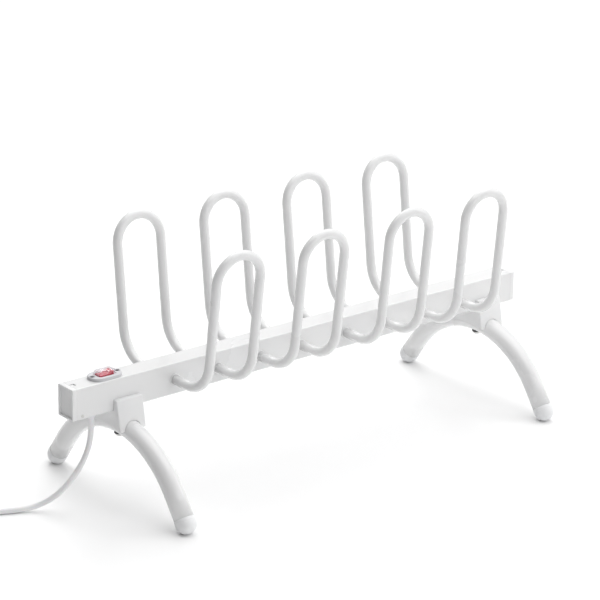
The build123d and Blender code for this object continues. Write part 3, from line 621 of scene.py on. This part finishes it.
def foot_outline():
    """Outline of a foot cap: ball, seam groove, collar and rolled lip."""
    turns = [math.radians(4 + 86 * i / BALL_STEPS) for i in range(BALL_STEPS + 1)]
    ball = [(-FOOT_BALL * math.cos(t), FOOT_BALL * math.sin(t)) for t in turns]
    groove = [(1.6, FOOT_BALL), (1.85, FOOT_BALL - SEAM_DEPTH), (2.15, FOOT_BALL - SEAM_DEPTH),
              (2.4, FOOT_BALL)]
    collar = [(FOOT_COLLAR - FOOT_LIP, FOOT_BALL), (FOOT_COLLAR - 0.12, FOOT_BALL - 0.13),
              (FOOT_COLLAR, FOOT_BALL - FOOT_LIP), (FOOT_COLLAR - 0.3, FOOT_BALL - 1.2)]
    return ball + groove + collar


def make_foot(name, back):
    """One foot cap. Its ball centre is a ball's radius inside the outermost face."""
    low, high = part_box(name)
    outer_y = high.y if back > 0 else low.y
    ball = Vector(((low.x + high.x) / 2, outer_y - back * FOOT_BALL * MM, BALL_HEIGHT))
    up_leg = Vector((0, -back * math.cos(LEG_SWEEP), math.sin(LEG_SWEEP)))
    foot = turned(f"{name}_cap", ball, up_leg, foot_outline(), sides=48)
    work_on(foot)
    bpy.ops.object.mode_set(mode="EDIT")
    bpy.ops.mesh.select_all(action="SELECT")
    bpy.ops.mesh.bisect(plane_co=(0, 0, 0), plane_no=(0, 0, -1), use_fill=True, clear_outer=True)
    pick("FACE", lambda spot: spot.z < 1e-6)
    bpy.ops.mesh.inset(thickness=0.9 * MM)
    bpy.ops.mesh.inset(thickness=0.4 * MM, depth=-0.5 * MM)
    bpy.ops.object.mode_set(mode="OBJECT")
    for vertex in foot.data.vertices:
        vertex.co.z = max(vertex.co.z, 0)
    smooth(foot, 30)
    return finished(foot, foot_plastic, stands_for=(name,))


for side in ("left", "right"):
    for end, back in (("front", -1), ("rear", 1)):
        make_foot(f"foot_{side}_{end}", back)

# %% [markdown]
# ## Block helper
# Square parts start as a cube between two corners. Its edges are picked by the way they
# run and rounded with the bevel operator before anything is cut out, because a bevel is
# cleanest while the shape is still simple.

# %% Blocks
def block(name, low, high):
    """A box between two corners, in metres."""
    low, high = Vector(low), Vector(high)
    bpy.ops.object.select_all(action="DESELECT")
    bpy.ops.mesh.primitive_cube_add(size=1, location=(low + high) / 2, scale=high - low)
    return newest(name)


def round_edges(piece, width_mm, segments, runs=None, test=None):
    """Bevel the edges that run along X, Y or Z, or those whose middle passes a test."""
    work_on(piece)
    bpy.ops.object.mode_set(mode="EDIT")
    bpy.ops.mesh.select_mode(type="EDGE")
    bpy.ops.mesh.select_all(action="DESELECT")
    mesh = bmesh.from_edit_mesh(piece.data)
    for edge in mesh.edges:
        way = (edge.verts[1].co - edge.verts[0].co).normalized()
        spot = (edge.verts[0].co + edge.verts[1].co) / 2
        along = runs is None or abs(way["XYZ".index(runs)]) > 0.9
        edge.select_set(along and (test is None or test(spot)))
    bmesh.update_edit_mesh(piece.data)
    bpy.ops.mesh.bevel(offset=width_mm * MM, segments=segments, affect="EDGES", profile=0.5)
    bpy.ops.object.mode_set(mode="OBJECT")
    return piece

# %% [markdown]
# ## End caps
# A cap closes each end of the rail: a flange as big as the rail, a face sunk inside a
# thin rim, and a sleeve that plugs the tube. The flange is a rounded block, the sunk face
# is cut out of it by a smaller block, as a mould core would form it, and a fine bevel
# breaks the new edges. A snap nose on the sleeve shows through a window in the rail.

# %% End caps
FLANGE = 6.0 * MM
RIM = 2.2 * MM
SUNK = 2.4 * MM
SLEEVE_IN = 8.5 * MM
WALL = 1.75 * MM
NOSE_X = 345.4 * MM
NOSE_HALF = 2.9 * MM


def make_end_cap(side, out):
    """One end cap. Out is the way its face looks along the rail."""
    low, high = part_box(f"end_cap_{side}")
    outer = high.x if out > 0 else low.x
    inner = outer - out * FLANGE

    def slab(name, x_from, x_to, shrink, corner_mm):
        piece = block(name, (min(x_from, x_to), low.y + shrink, low.z + shrink),
                      (max(x_from, x_to), high.y - shrink, high.z - shrink))
        return round_edges(piece, corner_mm, 5, runs="X")

    cap = slab(f"end_cap_{side}_cover", inner, outer, 0, 1.6)
    round_edges(cap, 0.6, 3, test=lambda spot: abs(spot.x - outer) < 1e-6)
    cut(cap, slab("face_core", outer - out * SUNK, outer + out * SUNK, RIM, 1.0))
    use(cap, "BEVEL", width=0.25 * MM, segments=2, limit_method="ANGLE", angle_limit=math.radians(60))
    sleeve = slab("sleeve", inner + out * 1 * MM, inner - out * SLEEVE_IN, WALL, 0.8)
    nose_x = out * NOSE_X
    nose = block("nose", (nose_x - 2.6 * MM, -NOSE_HALF, high.z - 3 * MM),
                 (nose_x + 2.2 * MM, NOSE_HALF, high.z - 0.9 * MM))
    round_edges(nose, 0.4, 2)
    cap = joined(f"end_cap_{side}_cover", cap, sleeve, nose)
    smooth(cap, 32)
    return finished(cap, saddle_plastic, stands_for=(f"end_cap_{side}",))


for side, out in (("left", -1), ("right", 1)):
    make_end_cap(side, out)

# %% [markdown]
# ## Saddles
# A saddle joins a leg to the rail. It is moulded: two flanges grip the rail, the skirt
# flares out below, and a channel sits over the bent tube. It is a cube with its lower
# corners spread apart and its edges rounded, and then the rail, the leg and two hollows
# are cut out of it as solid shapes, which is how the mould's cores make it too.

# %% Saddles
SADDLE_TOP = RAIL_LOW.z + 14.4 * MM
SADDLE_LOW = LEG_PEAK - 6 * MM
SADDLE_TOP_Y = 21.7 * MM
SADDLE_LOW_Y = 30.2 * MM
CHANNEL_GAP = 0.55 * MM
SKIRT_EDGE = 2.8 * MM


def make_saddle(side):
    """One saddle, cut to the shape of the rail and of the leg."""
    low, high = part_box(f"saddle_{side}")
    x = (low.x + high.x) / 2
    half = (high.x - low.x) / 2
    saddle = block(f"saddle_{side}_moulding", (x - half, -SADDLE_TOP_Y, SADDLE_LOW),
                   (x + half, SADDLE_TOP_Y, SADDLE_TOP))
    bpy.ops.object.mode_set(mode="EDIT")
    pick("VERT", lambda spot: spot.z < SADDLE_LOW + 1e-6)
    bpy.ops.transform.resize(value=(1, SADDLE_LOW_Y / SADDLE_TOP_Y, 1),
                             center_override=(x, 0, SADDLE_LOW))
    bpy.ops.object.mode_set(mode="OBJECT")
    round_edges(saddle, 1.3, 4, test=lambda spot: spot.z > SADDLE_LOW + 1e-6)
    bpy.ops.object.select_all(action="DESELECT")
    place = {"location": (x, 0, LEG_CENTRE_Z), "rotation": (0, math.radians(90), 0)}
    bpy.ops.mesh.primitive_cylinder_add(vertices=256, radius=LEG_BEND + SKIRT_EDGE, depth=0.1, **place)
    cut(saddle, newest("skirt_core"))
    bpy.ops.object.select_all(action="DESELECT")
    bpy.ops.mesh.primitive_torus_add(major_segments=256, minor_segments=48, major_radius=LEG_BEND,
                                     minor_radius=LEG_TUBE + CHANNEL_GAP, **place)
    cut(saddle, newest("tube_core"))
    grip = RAIL_HALF + 0.15 * MM
    cut(saddle, block("rail_core", (x - 0.05, -grip, RAIL_LOW.z), (x + 0.05, grip, RAIL_LOW.z + 0.03)))
    for y in (-20 * MM, 20 * MM):
        cut(saddle, block("hollow_core", (x - half + 3 * MM, y - 2.5 * MM, SADDLE_LOW - 0.01),
                          (x + half - 3 * MM, y + 2.5 * MM, RAIL_LOW.z - 3 * MM)))
    smooth(saddle, 28)
    return finished(saddle, saddle_plastic, stands_for=(f"saddle_{side}",))


for side in ("left", "right"):
    make_saddle(side)

# %% [markdown]
# ## Switch frame
# The grey oval frame is a cylinder pulled apart at its middle, so its ends stay round.
# Its top edge is bevelled, and the pocket for the rocker, the groove for the clear cover
# and the two screw seats are cut out of it.

# %% Switch frame
FRAME_LOW, FRAME_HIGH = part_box("switch_bezel")
SWITCH = (FRAME_LOW + FRAME_HIGH) / 2
FRAME_TOP = FRAME_HIGH.z
SCREW_STEP = 18.2 * MM
GROOVE_DEPTH = 1.2 * MM


def oval(name, length, width, bottom, top, sides=72):
    """A slot shape with round ends, centred on the switch, sizes in metres."""
    bpy.ops.object.select_all(action="DESELECT")
    bpy.ops.mesh.primitive_cylinder_add(vertices=sides, radius=width / 2, depth=top - bottom,
                                        location=(SWITCH.x, SWITCH.y, (bottom + top) / 2),
                                        rotation=(0, 0, math.pi / sides))
    piece = newest(name)
    bpy.ops.object.mode_set(mode="EDIT")
    for way in (-1, 1):
        pick("VERT", lambda spot: (spot.x - SWITCH.x) * way > 0)
        bpy.ops.transform.translate(value=(way * (length - width) / 2, 0, 0))
    bpy.ops.object.mode_set(mode="OBJECT")
    return piece


def rounded_block(name, size, bottom, top, corner_mm):
    """A block centred on the switch with rounded upright corners."""
    half_x, half_y = size[0] / 2, size[1] / 2
    piece = block(name, (SWITCH.x - half_x, SWITCH.y - half_y, bottom),
                  (SWITCH.x + half_x, SWITCH.y + half_y, top))
    return round_edges(piece, corner_mm, 6, runs="Z")


bezel = oval("switch_frame", 45 * MM, 26 * MM, FRAME_LOW.z, FRAME_TOP)
round_edges(bezel, 1.2, 4, test=lambda spot: spot.z > FRAME_TOP - 1e-6)
above = FRAME_TOP + 0.01
cut(bezel, rounded_block("groove_core", (26.9 * MM, 17.4 * MM), FRAME_TOP - GROOVE_DEPTH, above, 5))
cut(bezel, rounded_block("pocket_core", (21.6 * MM, 13.1 * MM), FRAME_LOW.z - 0.01, above, 1))
for way in (-1, 1):
    seat = SWITCH + Vector((way * SCREW_STEP, 0, 0))
    cut(bezel, turned("seat_core", (seat.x, seat.y, FRAME_TOP - 1.6 * MM), (0, 0, 1),
                      [(0, 2.9), (0.9, 2.9), (2.2, 3.4)]))
    cut(bezel, turned("hole_core", (seat.x, seat.y, FRAME_LOW.z - 1 * MM), (0, 0, 1),
                      [(0, 1.6), (8, 1.6)], sides=24))
use(bezel, "BEVEL", width=0.18 * MM, segments=2, limit_method="ANGLE", angle_limit=math.radians(50))
smooth(bezel, 32)
finished(bezel, bezel_plastic, stands_for=("switch_bezel",))

# %% [markdown]
# ## Frame screws
# Two small screws hold the frame to the rail, and their heads sit down in the seats. A
# head is turned from its outline, and two thin blocks cut the cross that the driver fits.

# %% Frame screws
def make_frame_screw(way):
    """A pan head with a cross recess, set down in its seat."""
    x = SWITCH.x + way * SCREW_STEP
    seat = FRAME_TOP - 1.55 * MM
    outline = [(-8.95, 1.3), (0, 1.4), (0, 2.6), (0.5, 2.7), (0.9, 2.35), (1.15, 1.6), (1.22, 0.8)]
    screw = turned("screw", (x, 0, seat), (0, 0, 1), outline, sides=32)
    for size in ((3.2, 0.7), (0.7, 3.2)):
        cut(screw, block("recess", (x - size[0] / 2 * MM, -size[1] / 2 * MM, seat + 0.35 * MM),
                         (x + size[0] / 2 * MM, size[1] / 2 * MM, seat + 2 * MM)))
    return smooth(screw, 30)


screws = joined("frame_screws", make_frame_screw(-1), make_frame_screw(1))
finished(screws, black_zinc, stands_for=("switch_screws",))

# %% [markdown]
# ## Rocker
# The rocker is a key with a shallow V on top. A cube gets a ring of corners across its
# middle by bisecting, the top of that ring is pushed down, and every edge is rounded.
# It is made level and then tipped about its pivot, left side down. It rides on its own
# body, because it is the one part that moves.

# %% Rocker
ROCKER_TILT = math.radians(-9)
PIVOT = Vector((SWITCH.x, 0, FRAME_TOP - 2.4 * MM))
V_DEPTH = 1.58 * MM

rocker = block("rocker_key", PIVOT + mm(-10, -5.75, -1.5), PIVOT + mm(10, 5.75, 4.58))
bpy.ops.object.mode_set(mode="EDIT")
for step in (-7.4, -3.7, 0, 3.7, 7.4):
    bpy.ops.mesh.select_all(action="SELECT")
    bpy.ops.mesh.bisect(plane_co=PIVOT + mm(step, 0, 0), plane_no=(1, 0, 0))
for step, sink in ((0, 1.0), (3.7, 0.8), (7.4, 0.32)):
    pick("VERT", lambda spot: spot.z > PIVOT.z + 3 * MM and abs(abs(spot.x - PIVOT.x) - step * MM) < 1e-5)
    bpy.ops.transform.translate(value=(0, 0, -V_DEPTH * sink))
pick("VERT", lambda spot: spot.z < PIVOT.z and abs(spot.x - PIVOT.x) > 9.9 * MM)
bpy.ops.transform.resize(value=(0.92, 1, 1), center_override=PIVOT)
pick("FACE", lambda spot: spot.z < PIVOT.z - 1.4 * MM and abs(spot.x - PIVOT.x) < 3.8 * MM)
extrude_ring(mm(0, 0, -3.1))
bpy.ops.object.mode_set(mode="OBJECT")
round_edges(rocker, 0.55, 3, test=lambda spot: spot.z > PIVOT.z + 2.5 * MM
            and (abs(spot.y) > 5.7 * MM or abs(spot.x - PIVOT.x) > 9.9 * MM))
for mark in (-6.4, -5.2, -4.0):
    rib = block("rib", PIVOT + mm(-mark - 0.22, -3.4, 2.6), PIVOT + mm(-mark + 0.22, 3.4, 4.05))
    round_edges(rib, 0.15, 2)
    rocker = joined("rocker_key", rocker, rib)
trunnion = turned("trunnion", PIVOT - mm(0, 7.9, 0), (0, 1, 0),
                  [(0, 0.9), (0.3, 1.2), (15.5, 1.2), (15.8, 0.9)], sides=24)
rocker = joined("rocker_key", rocker, trunnion)
tip = Matrix.Translation(PIVOT) @ Matrix.Rotation(ROCKER_TILT, 4, "Y") @ Matrix.Translation(-PIVOT)
rocker.data.transform(tip)
smooth(rocker, 35)
finished(rocker, red_key, body="rocker", stands_for=("switch_rocker",))

# %% [markdown]
# ## Clear cover
# A clear soft dome keeps water off the rocker. It is a rounded block with its floor
# deleted and its rim spread to a flange, and Solidify gives it one even thin wall. A
# thin wall matters here, because clear plastic is seen by its edges.

# %% Clear cover
COVER_WALL = 0.75 * MM
COVER_FOOT = FRAME_TOP - GROOVE_DEPTH + COVER_WALL
COVER_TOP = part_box("switch_cover")[1].z
DOME = (24.1, 14.6)
COVER_FLANGE = (26.5, 17)
cover = rounded_block("splash_cover", (DOME[0] * MM, DOME[1] * MM), COVER_FOOT, COVER_TOP, 3)
round_edges(cover, 2.4, 5, test=lambda spot: spot.z > COVER_TOP - 1e-6)
bpy.ops.object.mode_set(mode="EDIT")
pick("FACE", lambda spot: spot.z < COVER_FOOT + 1e-6)
bpy.ops.mesh.delete(type="ONLY_FACE")
pick("VERT", lambda spot: spot.z < COVER_FOOT + 1e-6)
extrude_ring(Vector((0, 0, 0)))
bpy.ops.transform.resize(value=(COVER_FLANGE[0] / DOME[0], COVER_FLANGE[1] / DOME[1], 1),
                         center_override=(SWITCH.x, 0, COVER_FOOT))
bpy.ops.object.mode_set(mode="OBJECT")
use(cover, "SOLIDIFY", thickness=COVER_WALL, offset=-1, use_even_offset=True)
smooth(cover, 40)
finished(cover, clear_cover, stands_for=("switch_cover",))

# %% [markdown]
# ## Strain relief
# Where the lead leaves the rail a rubber-like relief keeps it from kinking. It is turned
# from one outline: a small rounded mouth, a taper with two shallow ribs, a flat collar
# against the rail, a snap groove for the rail's wall and a taper that ends inside.

# %% Gland
GLAND_LOW, GLAND_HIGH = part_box("cord_gland")
GLAND_MOUTH = [(0.5, 3.6), (0.0, 4.0), (0.15, 4.35), (0.6, 4.6), (1.5, 4.85)]
GLAND_RIBS = [(1.8, 4.6), (2.2, 4.65), (2.5, 5.1), (3.4, 5.5), (3.7, 5.2), (4.1, 5.25), (4.4, 5.8)]
GLAND_COLLAR = [(4.55, 7.9), (4.9, 8.5), (5.6, 8.6), (6.6, 8.6)]
GLAND_INSIDE = [(6.6, 6.6), (8.1, 6.6), (8.1, 7.3), (8.8, 7.4), (10.1, 5.8), (14.6, 4.6), (15.6, 4.3)]
gland = turned("strain_relief", ((GLAND_LOW.x + GLAND_HIGH.x) / 2, 0, GLAND_LOW.z), (0, 0, 1),
               GLAND_MOUTH + GLAND_RIBS + GLAND_COLLAR + GLAND_INSIDE, sides=48)
finished(gland, cord_sheath, stands_for=("cord_gland",))

# %% [markdown]
# ## Small fasteners
# One bolt goes up through each leg and saddle into the rail, and the earth screw sits low
# on the rail's front wall. Both are turned shapes, with a socket or a slot cut in.

# %% Fasteners
def make_leg_bolt(side):
    """A domed bolt head with a socket, and its shank up into the rail."""
    x = middle(f"saddle_{side}").x
    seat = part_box("leg_washers")[0].z
    low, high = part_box("leg_bolts")
    foot = (x, 0, low.z)
    head = (seat - low.z) / MM
    rise = (high.z - low.z) / MM
    dome = [(0, 3.0), (0.25, 4.1), (0.9, 4.9), (head - 0.5, 5.2), (head, 5.15)]
    shank = [(head, 2.9), (rise - 0.6, 2.9), (rise, 2.4)]
    bolt = turned("leg_bolt", foot, (0, 0, 1), dome + shank)
    cut(bolt, turned("socket", (x, 0, low.z - 0.5 * MM), (0, 0, 1),
                     [(0, 1.9), (2.3, 1.9), (2.9, 0.5)], sides=6))
    return smooth(bolt, 30)


leg_bolts = joined("leg_bolt_pair", make_leg_bolt("left"), make_leg_bolt("right"))
finished(leg_bolts, zinc, stands_for=("leg_bolts",))

earth = middle("earth_screw")
earth.y = -RAIL_HALF
EARTH_SHANK = [(0, 1.3), (0.2, 1.4), (6, 1.4)]
EARTH_DOME = [(6, 2.1), (6.35, 2.05), (6.75, 1.75), (7, 1.2)]
earth_head = turned("earth_rivet", earth + mm(0, 6, 0), (0, -1, 0), EARTH_SHANK + EARTH_DOME, sides=32)
cut(earth_head, block("slot", earth + mm(-2.6, -1.6, -0.25), earth + mm(2.6, -0.6, 0.25)))
smooth(earth_head, 30)
finished(earth_head, zinc, stands_for=("earth_screw",))

# %% [markdown]
# ## Mains lead
# The lead leaves the underside of the rail, drops, swings out and lies on the floor. What
# is left of its 1.8 m is folded into a flat hank, held by a strap, with the plug beside
# it. A cord is one smooth curve: a few listed points set its way down, and a loop
# lays the hank's turns, because they repeat. The hank has two lanes of strands and three
# layers. Its outline is four arcs: two round ends and two hollow sides at the strap.

# %% Route of the lead
CORD_RADIUS = 3.5 * MM
HANK_MIDDLE = mm(-475.0, 112.0)
HANK_HEADING = math.radians(146)
HANK_WAY = Vector((math.cos(HANK_HEADING), math.sin(HANK_HEADING)))
HANK_ACROSS = Vector((HANK_WAY.y, -HANK_WAY.x))
HANK_HALF = 44.0
HANK_FOLD = 28.1
HANK_WAIST = 10.9
TIE_LIFT = 1.0


def on_hank(along, across, height):
    """A point from distances along and across the hank, in millimetres."""
    spot = HANK_MIDDLE.to_2d() + HANK_WAY * along * MM + HANK_ACROSS * across * MM
    return Vector((spot.x, spot.y, height * MM))


cord_exit = mm(-319, 0, 115.21)
lead_route = [cord_exit, mm(-319, 0, 87), mm(-330, 2, 58), mm(-350, 6, 33), mm(-366, 14, 16.5),
              mm(-384, 27.5, 5), mm(-407, 37, 3.5),
              on_hank(-HANK_HALF - 22, -HANK_FOLD, 3.5), on_hank(-HANK_HALF, -HANK_FOLD, 3.5)]
HANK_END = HANK_HALF + HANK_FOLD
tail_route = [on_hank(HANK_END, across, height)
              for across, height in ((0, 18.7), (12, 18.7), (28, 14), (40, 14))]
print("points down to the hank:", len(lead_route), "and on to the plug:", len(tail_route))

# %% Turns of the hank
POINTS_A_TURN = 32
TURNS = 4.38
LANE = 7.05
LAYER = 7.1


def eased(value, start, end):
    """0 before start, 1 after end, and a soft change between them."""
    t = min(1, max(0, (value - start) / (end - start)))
    return t * t * (3 - 2 * t)


def hank_arcs(inset):
    """Centre, radius, first and last angle of each arc of one strand, from the near end."""
    fold, waist = HANK_FOLD - inset, HANK_WAIST - inset
    hollow = (HANK_HALF**2 + waist**2 - fold**2) / (2 * (fold - waist))
    aside = waist + hollow
    touch = math.degrees(math.atan2(aside, HANK_HALF))
    return [((-HANK_HALF, 0), fold, 270, 360 - touch), ((0, -aside), hollow, 180 - touch, touch),
            ((HANK_HALF, 0), fold, touch - 180, 180 - touch), ((0, aside), hollow, -touch, touch - 180),
            ((-HANK_HALF, 0), fold, touch, 270)]


def hank_point(turn):
    """Where the cord is after this many turns: its lane, its layer and the lift at the strap."""
    inset = LANE * (eased(turn, 0.72, 1.02) - eased(turn, 2.36, 2.62))
    height = CORD_RADIUS / MM + LAYER * (eased(turn, 1.60, 1.85) + eased(turn, 3.30, 3.50))
    arcs = hank_arcs(inset)
    lengths = [radius * math.radians(abs(last - first)) for _, radius, first, last in arcs]
    left = (turn % 1) * sum(lengths)
    place = 0
    while left > lengths[place]:
        left -= lengths[place]
        place += 1
    (along, across), radius, first, last = arcs[place]
    angle = math.radians(first + (last - first) * left / lengths[place])
    # a spline runs a little inside its points, so the points stand a little outside the arc
    reach = radius + (sum(lengths) / POINTS_A_TURN) ** 2 / (8 * radius)
    along += reach * math.cos(angle)
    across += reach * math.sin(angle)
    lift = TIE_LIFT * (1 - eased(abs(along), 12, 34))
    return on_hank(along, across, height + lift)


hank_route = [hank_point(i / POINTS_A_TURN) for i in range(1, int(TURNS * POINTS_A_TURN))]
print("points in the hank:", len(hank_route))

# %% [markdown]
# ## Plug
# The far end of the lead carries a moulded plug that lies on its back, beside the coil. Its
# round body and its ribbed strain relief are turned from outlines, two side channels are
# cut out of the body, and the pins are a piece of their own. The flat earth strips in the
# channels are right as they are in the frame.

# %% Plug
PLUG_CENTRE = on_hank(HANK_END, 82.5, 0)
PLUG_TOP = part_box("plug_pins")[0].z
ALONG = (on_hank(1, 0, 0) - on_hank(0, 0, 0)).normalized()
ACROSS = (on_hank(0, 1, 0) - on_hank(0, 0, 0)).normalized()
plug_high = (PLUG_TOP - PLUG_CENTRE.z) / MM
PLUG_BACK = [(0, 13.5), (0.4, 15.4), (1.5, 17.1), (3, 18.1), (5, 18.5)]
PLUG_SEAM = [(7.6, 18.5), (8, 18.2), (8.4, 18.5)]
PLUG_FACE = [(plug_high - 0.8, 18.5), (plug_high - 0.25, 18.3), (plug_high, 17.7), (plug_high, 15.6),
             (plug_high - 0.25, 15.4), (plug_high - 0.25, 15.0)]
plug = turned("plug_moulding", PLUG_CENTRE, (0, 0, 1), PLUG_BACK + PLUG_SEAM + PLUG_FACE, sides=96)
heading = math.atan2(ALONG.y, ALONG.x)
for sign in (-1, 1):
    spot = PLUG_CENTRE + ALONG * sign * 19.1 * MM
    channel = block("channel", mm(-2.6, -3.2, plug_high - 18.8), mm(2.6, 3.2, plug_high + 5))
    channel.data.transform(Matrix.Translation(spot) @ Matrix.Rotation(heading, 4, "Z"))
    cut(plug, channel)
smooth(plug, 30)
RELIEF_OUTLINE = [(0, 4.3), (0.4, 4.9), (2.6, 5.2)]
for rib in range(6):
    start = 3 + rib * 3.4
    radius = 5.1 + rib * 0.42
    RELIEF_OUTLINE += [(start, radius - 0.35), (start + 0.9, radius - 0.35), (start + 1.2, radius + 0.2),
                       (start + 2.9, radius + 0.35)]
RELIEF_OUTLINE += [(24, 7.5), (28, 8.2), (31, 8.3)]
relief = turned("relief", on_hank(HANK_END, 40, 14), ACROSS, RELIEF_OUTLINE, sides=40)
smooth(relief, 35)
plug = joined("plug_moulding", plug, relief)
finished(plug, cord_sheath, stands_for=("plug_body",))

PIN = [(-1, 2.4), (17.6, 2.4), (18.4, 2.15), (18.85, 1.6), (19, 0.8)]
PIN_STEP = 9.5 * MM
pin_feet = [PLUG_CENTRE + ACROSS * sign * PIN_STEP + mm(0, 0, plug_high) for sign in (-1, 1)]
pins = joined("contact_pins", *(turned("pin", foot, (0, 0, 1), PIN, sides=32) for foot in pin_feet))
finished(pins, nickel, stands_for=("plug_pins",))

# %% [markdown]
# ## Strap
# A hook-and-loop strap holds the coil at its waist. It is a rounded sleeve: one rounded
# block with a smaller one cut out of it, made square to the axes and then turned to the
# coil's own heading.

# %% Strap
TIE_LOW, TIE_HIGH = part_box("cord_tie")
STRAP_HALF = 16 * MM
STRAP_THICK = 1 * MM
sleeve = block("coil_strap", (-6 * MM, -STRAP_HALF, TIE_LOW.z), (6 * MM, STRAP_HALF, TIE_HIGH.z))
round_edges(sleeve, 4, 8, runs="X")
strap_core = block("strap_core", (-10 * MM, -STRAP_HALF + 0.9 * MM, TIE_LOW.z + STRAP_THICK),
                   (10 * MM, STRAP_HALF - 0.9 * MM, TIE_HIGH.z - STRAP_THICK))
cut(sleeve, round_edges(strap_core, 2.8, 8, runs="X"))
use(sleeve, "BEVEL", width=0.2 * MM, segments=2, limit_method="ANGLE", angle_limit=math.radians(60))
sleeve.data.transform(Matrix.Translation(on_hank(0, 0, 0)) @ Matrix.Rotation(heading, 4, "Z"))
smooth(sleeve, 30)
finished(sleeve, strap, stands_for=("cord_tie",))

# %% [markdown]
# ## One curve for the whole lead
# The way down, the hank and the tail are joined into one open spline with a round bevel,
# so the lead has no seam.

# %% The lead as one curve
line = bpy.data.curves.new("mains_lead", "CURVE")
line.dimensions = "3D"
line.bevel_depth = CORD_RADIUS
line.bevel_resolution = 5
line.resolution_u = 6
line.use_fill_caps = True
route = lead_route + hank_route + tail_route
spline = line.splines.new("NURBS")
spline.points.add(len(route) - 1)
for point, place in zip(spline.points, route):
    point.co = (*place, 1)
spline.order_u = 3
spline.use_endpoint_u = True
mains_lead = bpy.data.objects.new("mains_lead", line)
bpy.context.collection.objects.link(mains_lead)
finished(mains_lead, cord_sheath, stands_for=("cord_lead", "cord_hank", "cord_tail"))
print("lead points:", len(route), "length in m:", round(spline.calc_length(), 3))

# %% [markdown]
# ## Floor and light
# The dryer stands on a plain pale floor that runs far past the picture. Soft light from
# a big overhead panel makes the tops bright and the shadows faint, and a weaker panel
# at the right gives the tubes their long soft highlight. Little light comes from the
# left, so that side of every tube turns grey and shows its shape.

# %% Floor
FLOOR_SIZE = 40.0
bpy.ops.mesh.primitive_plane_add(size=FLOOR_SIZE)
floor = newest("studio_floor")
floor_finish = new_finish("studio_floor", 0.45, colour=(0.94, 0.94, 0.94))
floor_grain = speckle(floor_finish, 3, detail=2)
wire(floor_finish, Roughness=spread(floor_finish, floor_grain, 0.4, 0.5))
floor.data.materials.append(floor_finish)

# %% Lights
def panel(name, place, aim, size, power):
    """A square soft box at a place, turned to face the point it aims at."""
    light = bpy.data.lights.new(name, "AREA")
    light.shape = "RECTANGLE"
    light.size, light.size_y = size
    light.energy = power
    box = bpy.data.objects.new(name, light)
    bpy.context.collection.objects.link(box)
    box.location = place
    box.rotation_euler = (Vector(aim) - Vector(place)).to_track_quat("-Z", "Y").to_euler()
    return box


panel("overhead_panel", (0.3, 0.2, 2.6), (0, 0, 0), (3.4, 3.0), 54)
panel("right_panel", (2.4, -1.2, 1.3), (0, 0, 0.15), (1.4, 2.0), 11)
panel("front_panel", (-0.2, -2.8, 1.5), (0, 0, 0.15), (2.4, 1.4), 15)
panel("far_floor_panel", (1.7, 2.5, 2.4), (1.7, 2.6, 0), (3.0, 2.4), 45)

sky = bpy.data.worlds.new("studio_sky")
sky.use_nodes = True
sky.node_tree.nodes["Background"].inputs["Color"].default_value = (1, 1, 1, 1)
sky_way = sky.node_tree.nodes.new("ShaderNodeTexCoord")
sky_parts = sky.node_tree.nodes.new("ShaderNodeSeparateXYZ")
sky_ramp = sky.node_tree.nodes.new("ShaderNodeMapRange")
for socket, value in (("From Min", -0.9), ("From Max", 0.35), ("To Min", 0.03), ("To Max", 0.66)):
    sky_ramp.inputs[socket].default_value = value
sky_links = sky.node_tree.links
sky_links.new(sky_way.outputs["Generated"], sky_parts.inputs["Vector"])
sky_links.new(sky_parts.outputs["X"], sky_ramp.inputs["Value"])
sky_links.new(sky_ramp.outputs["Result"], sky.node_tree.nodes["Background"].inputs["Strength"])
bpy.context.scene.world = sky
bpy.context.scene.view_settings.view_transform = "Standard"
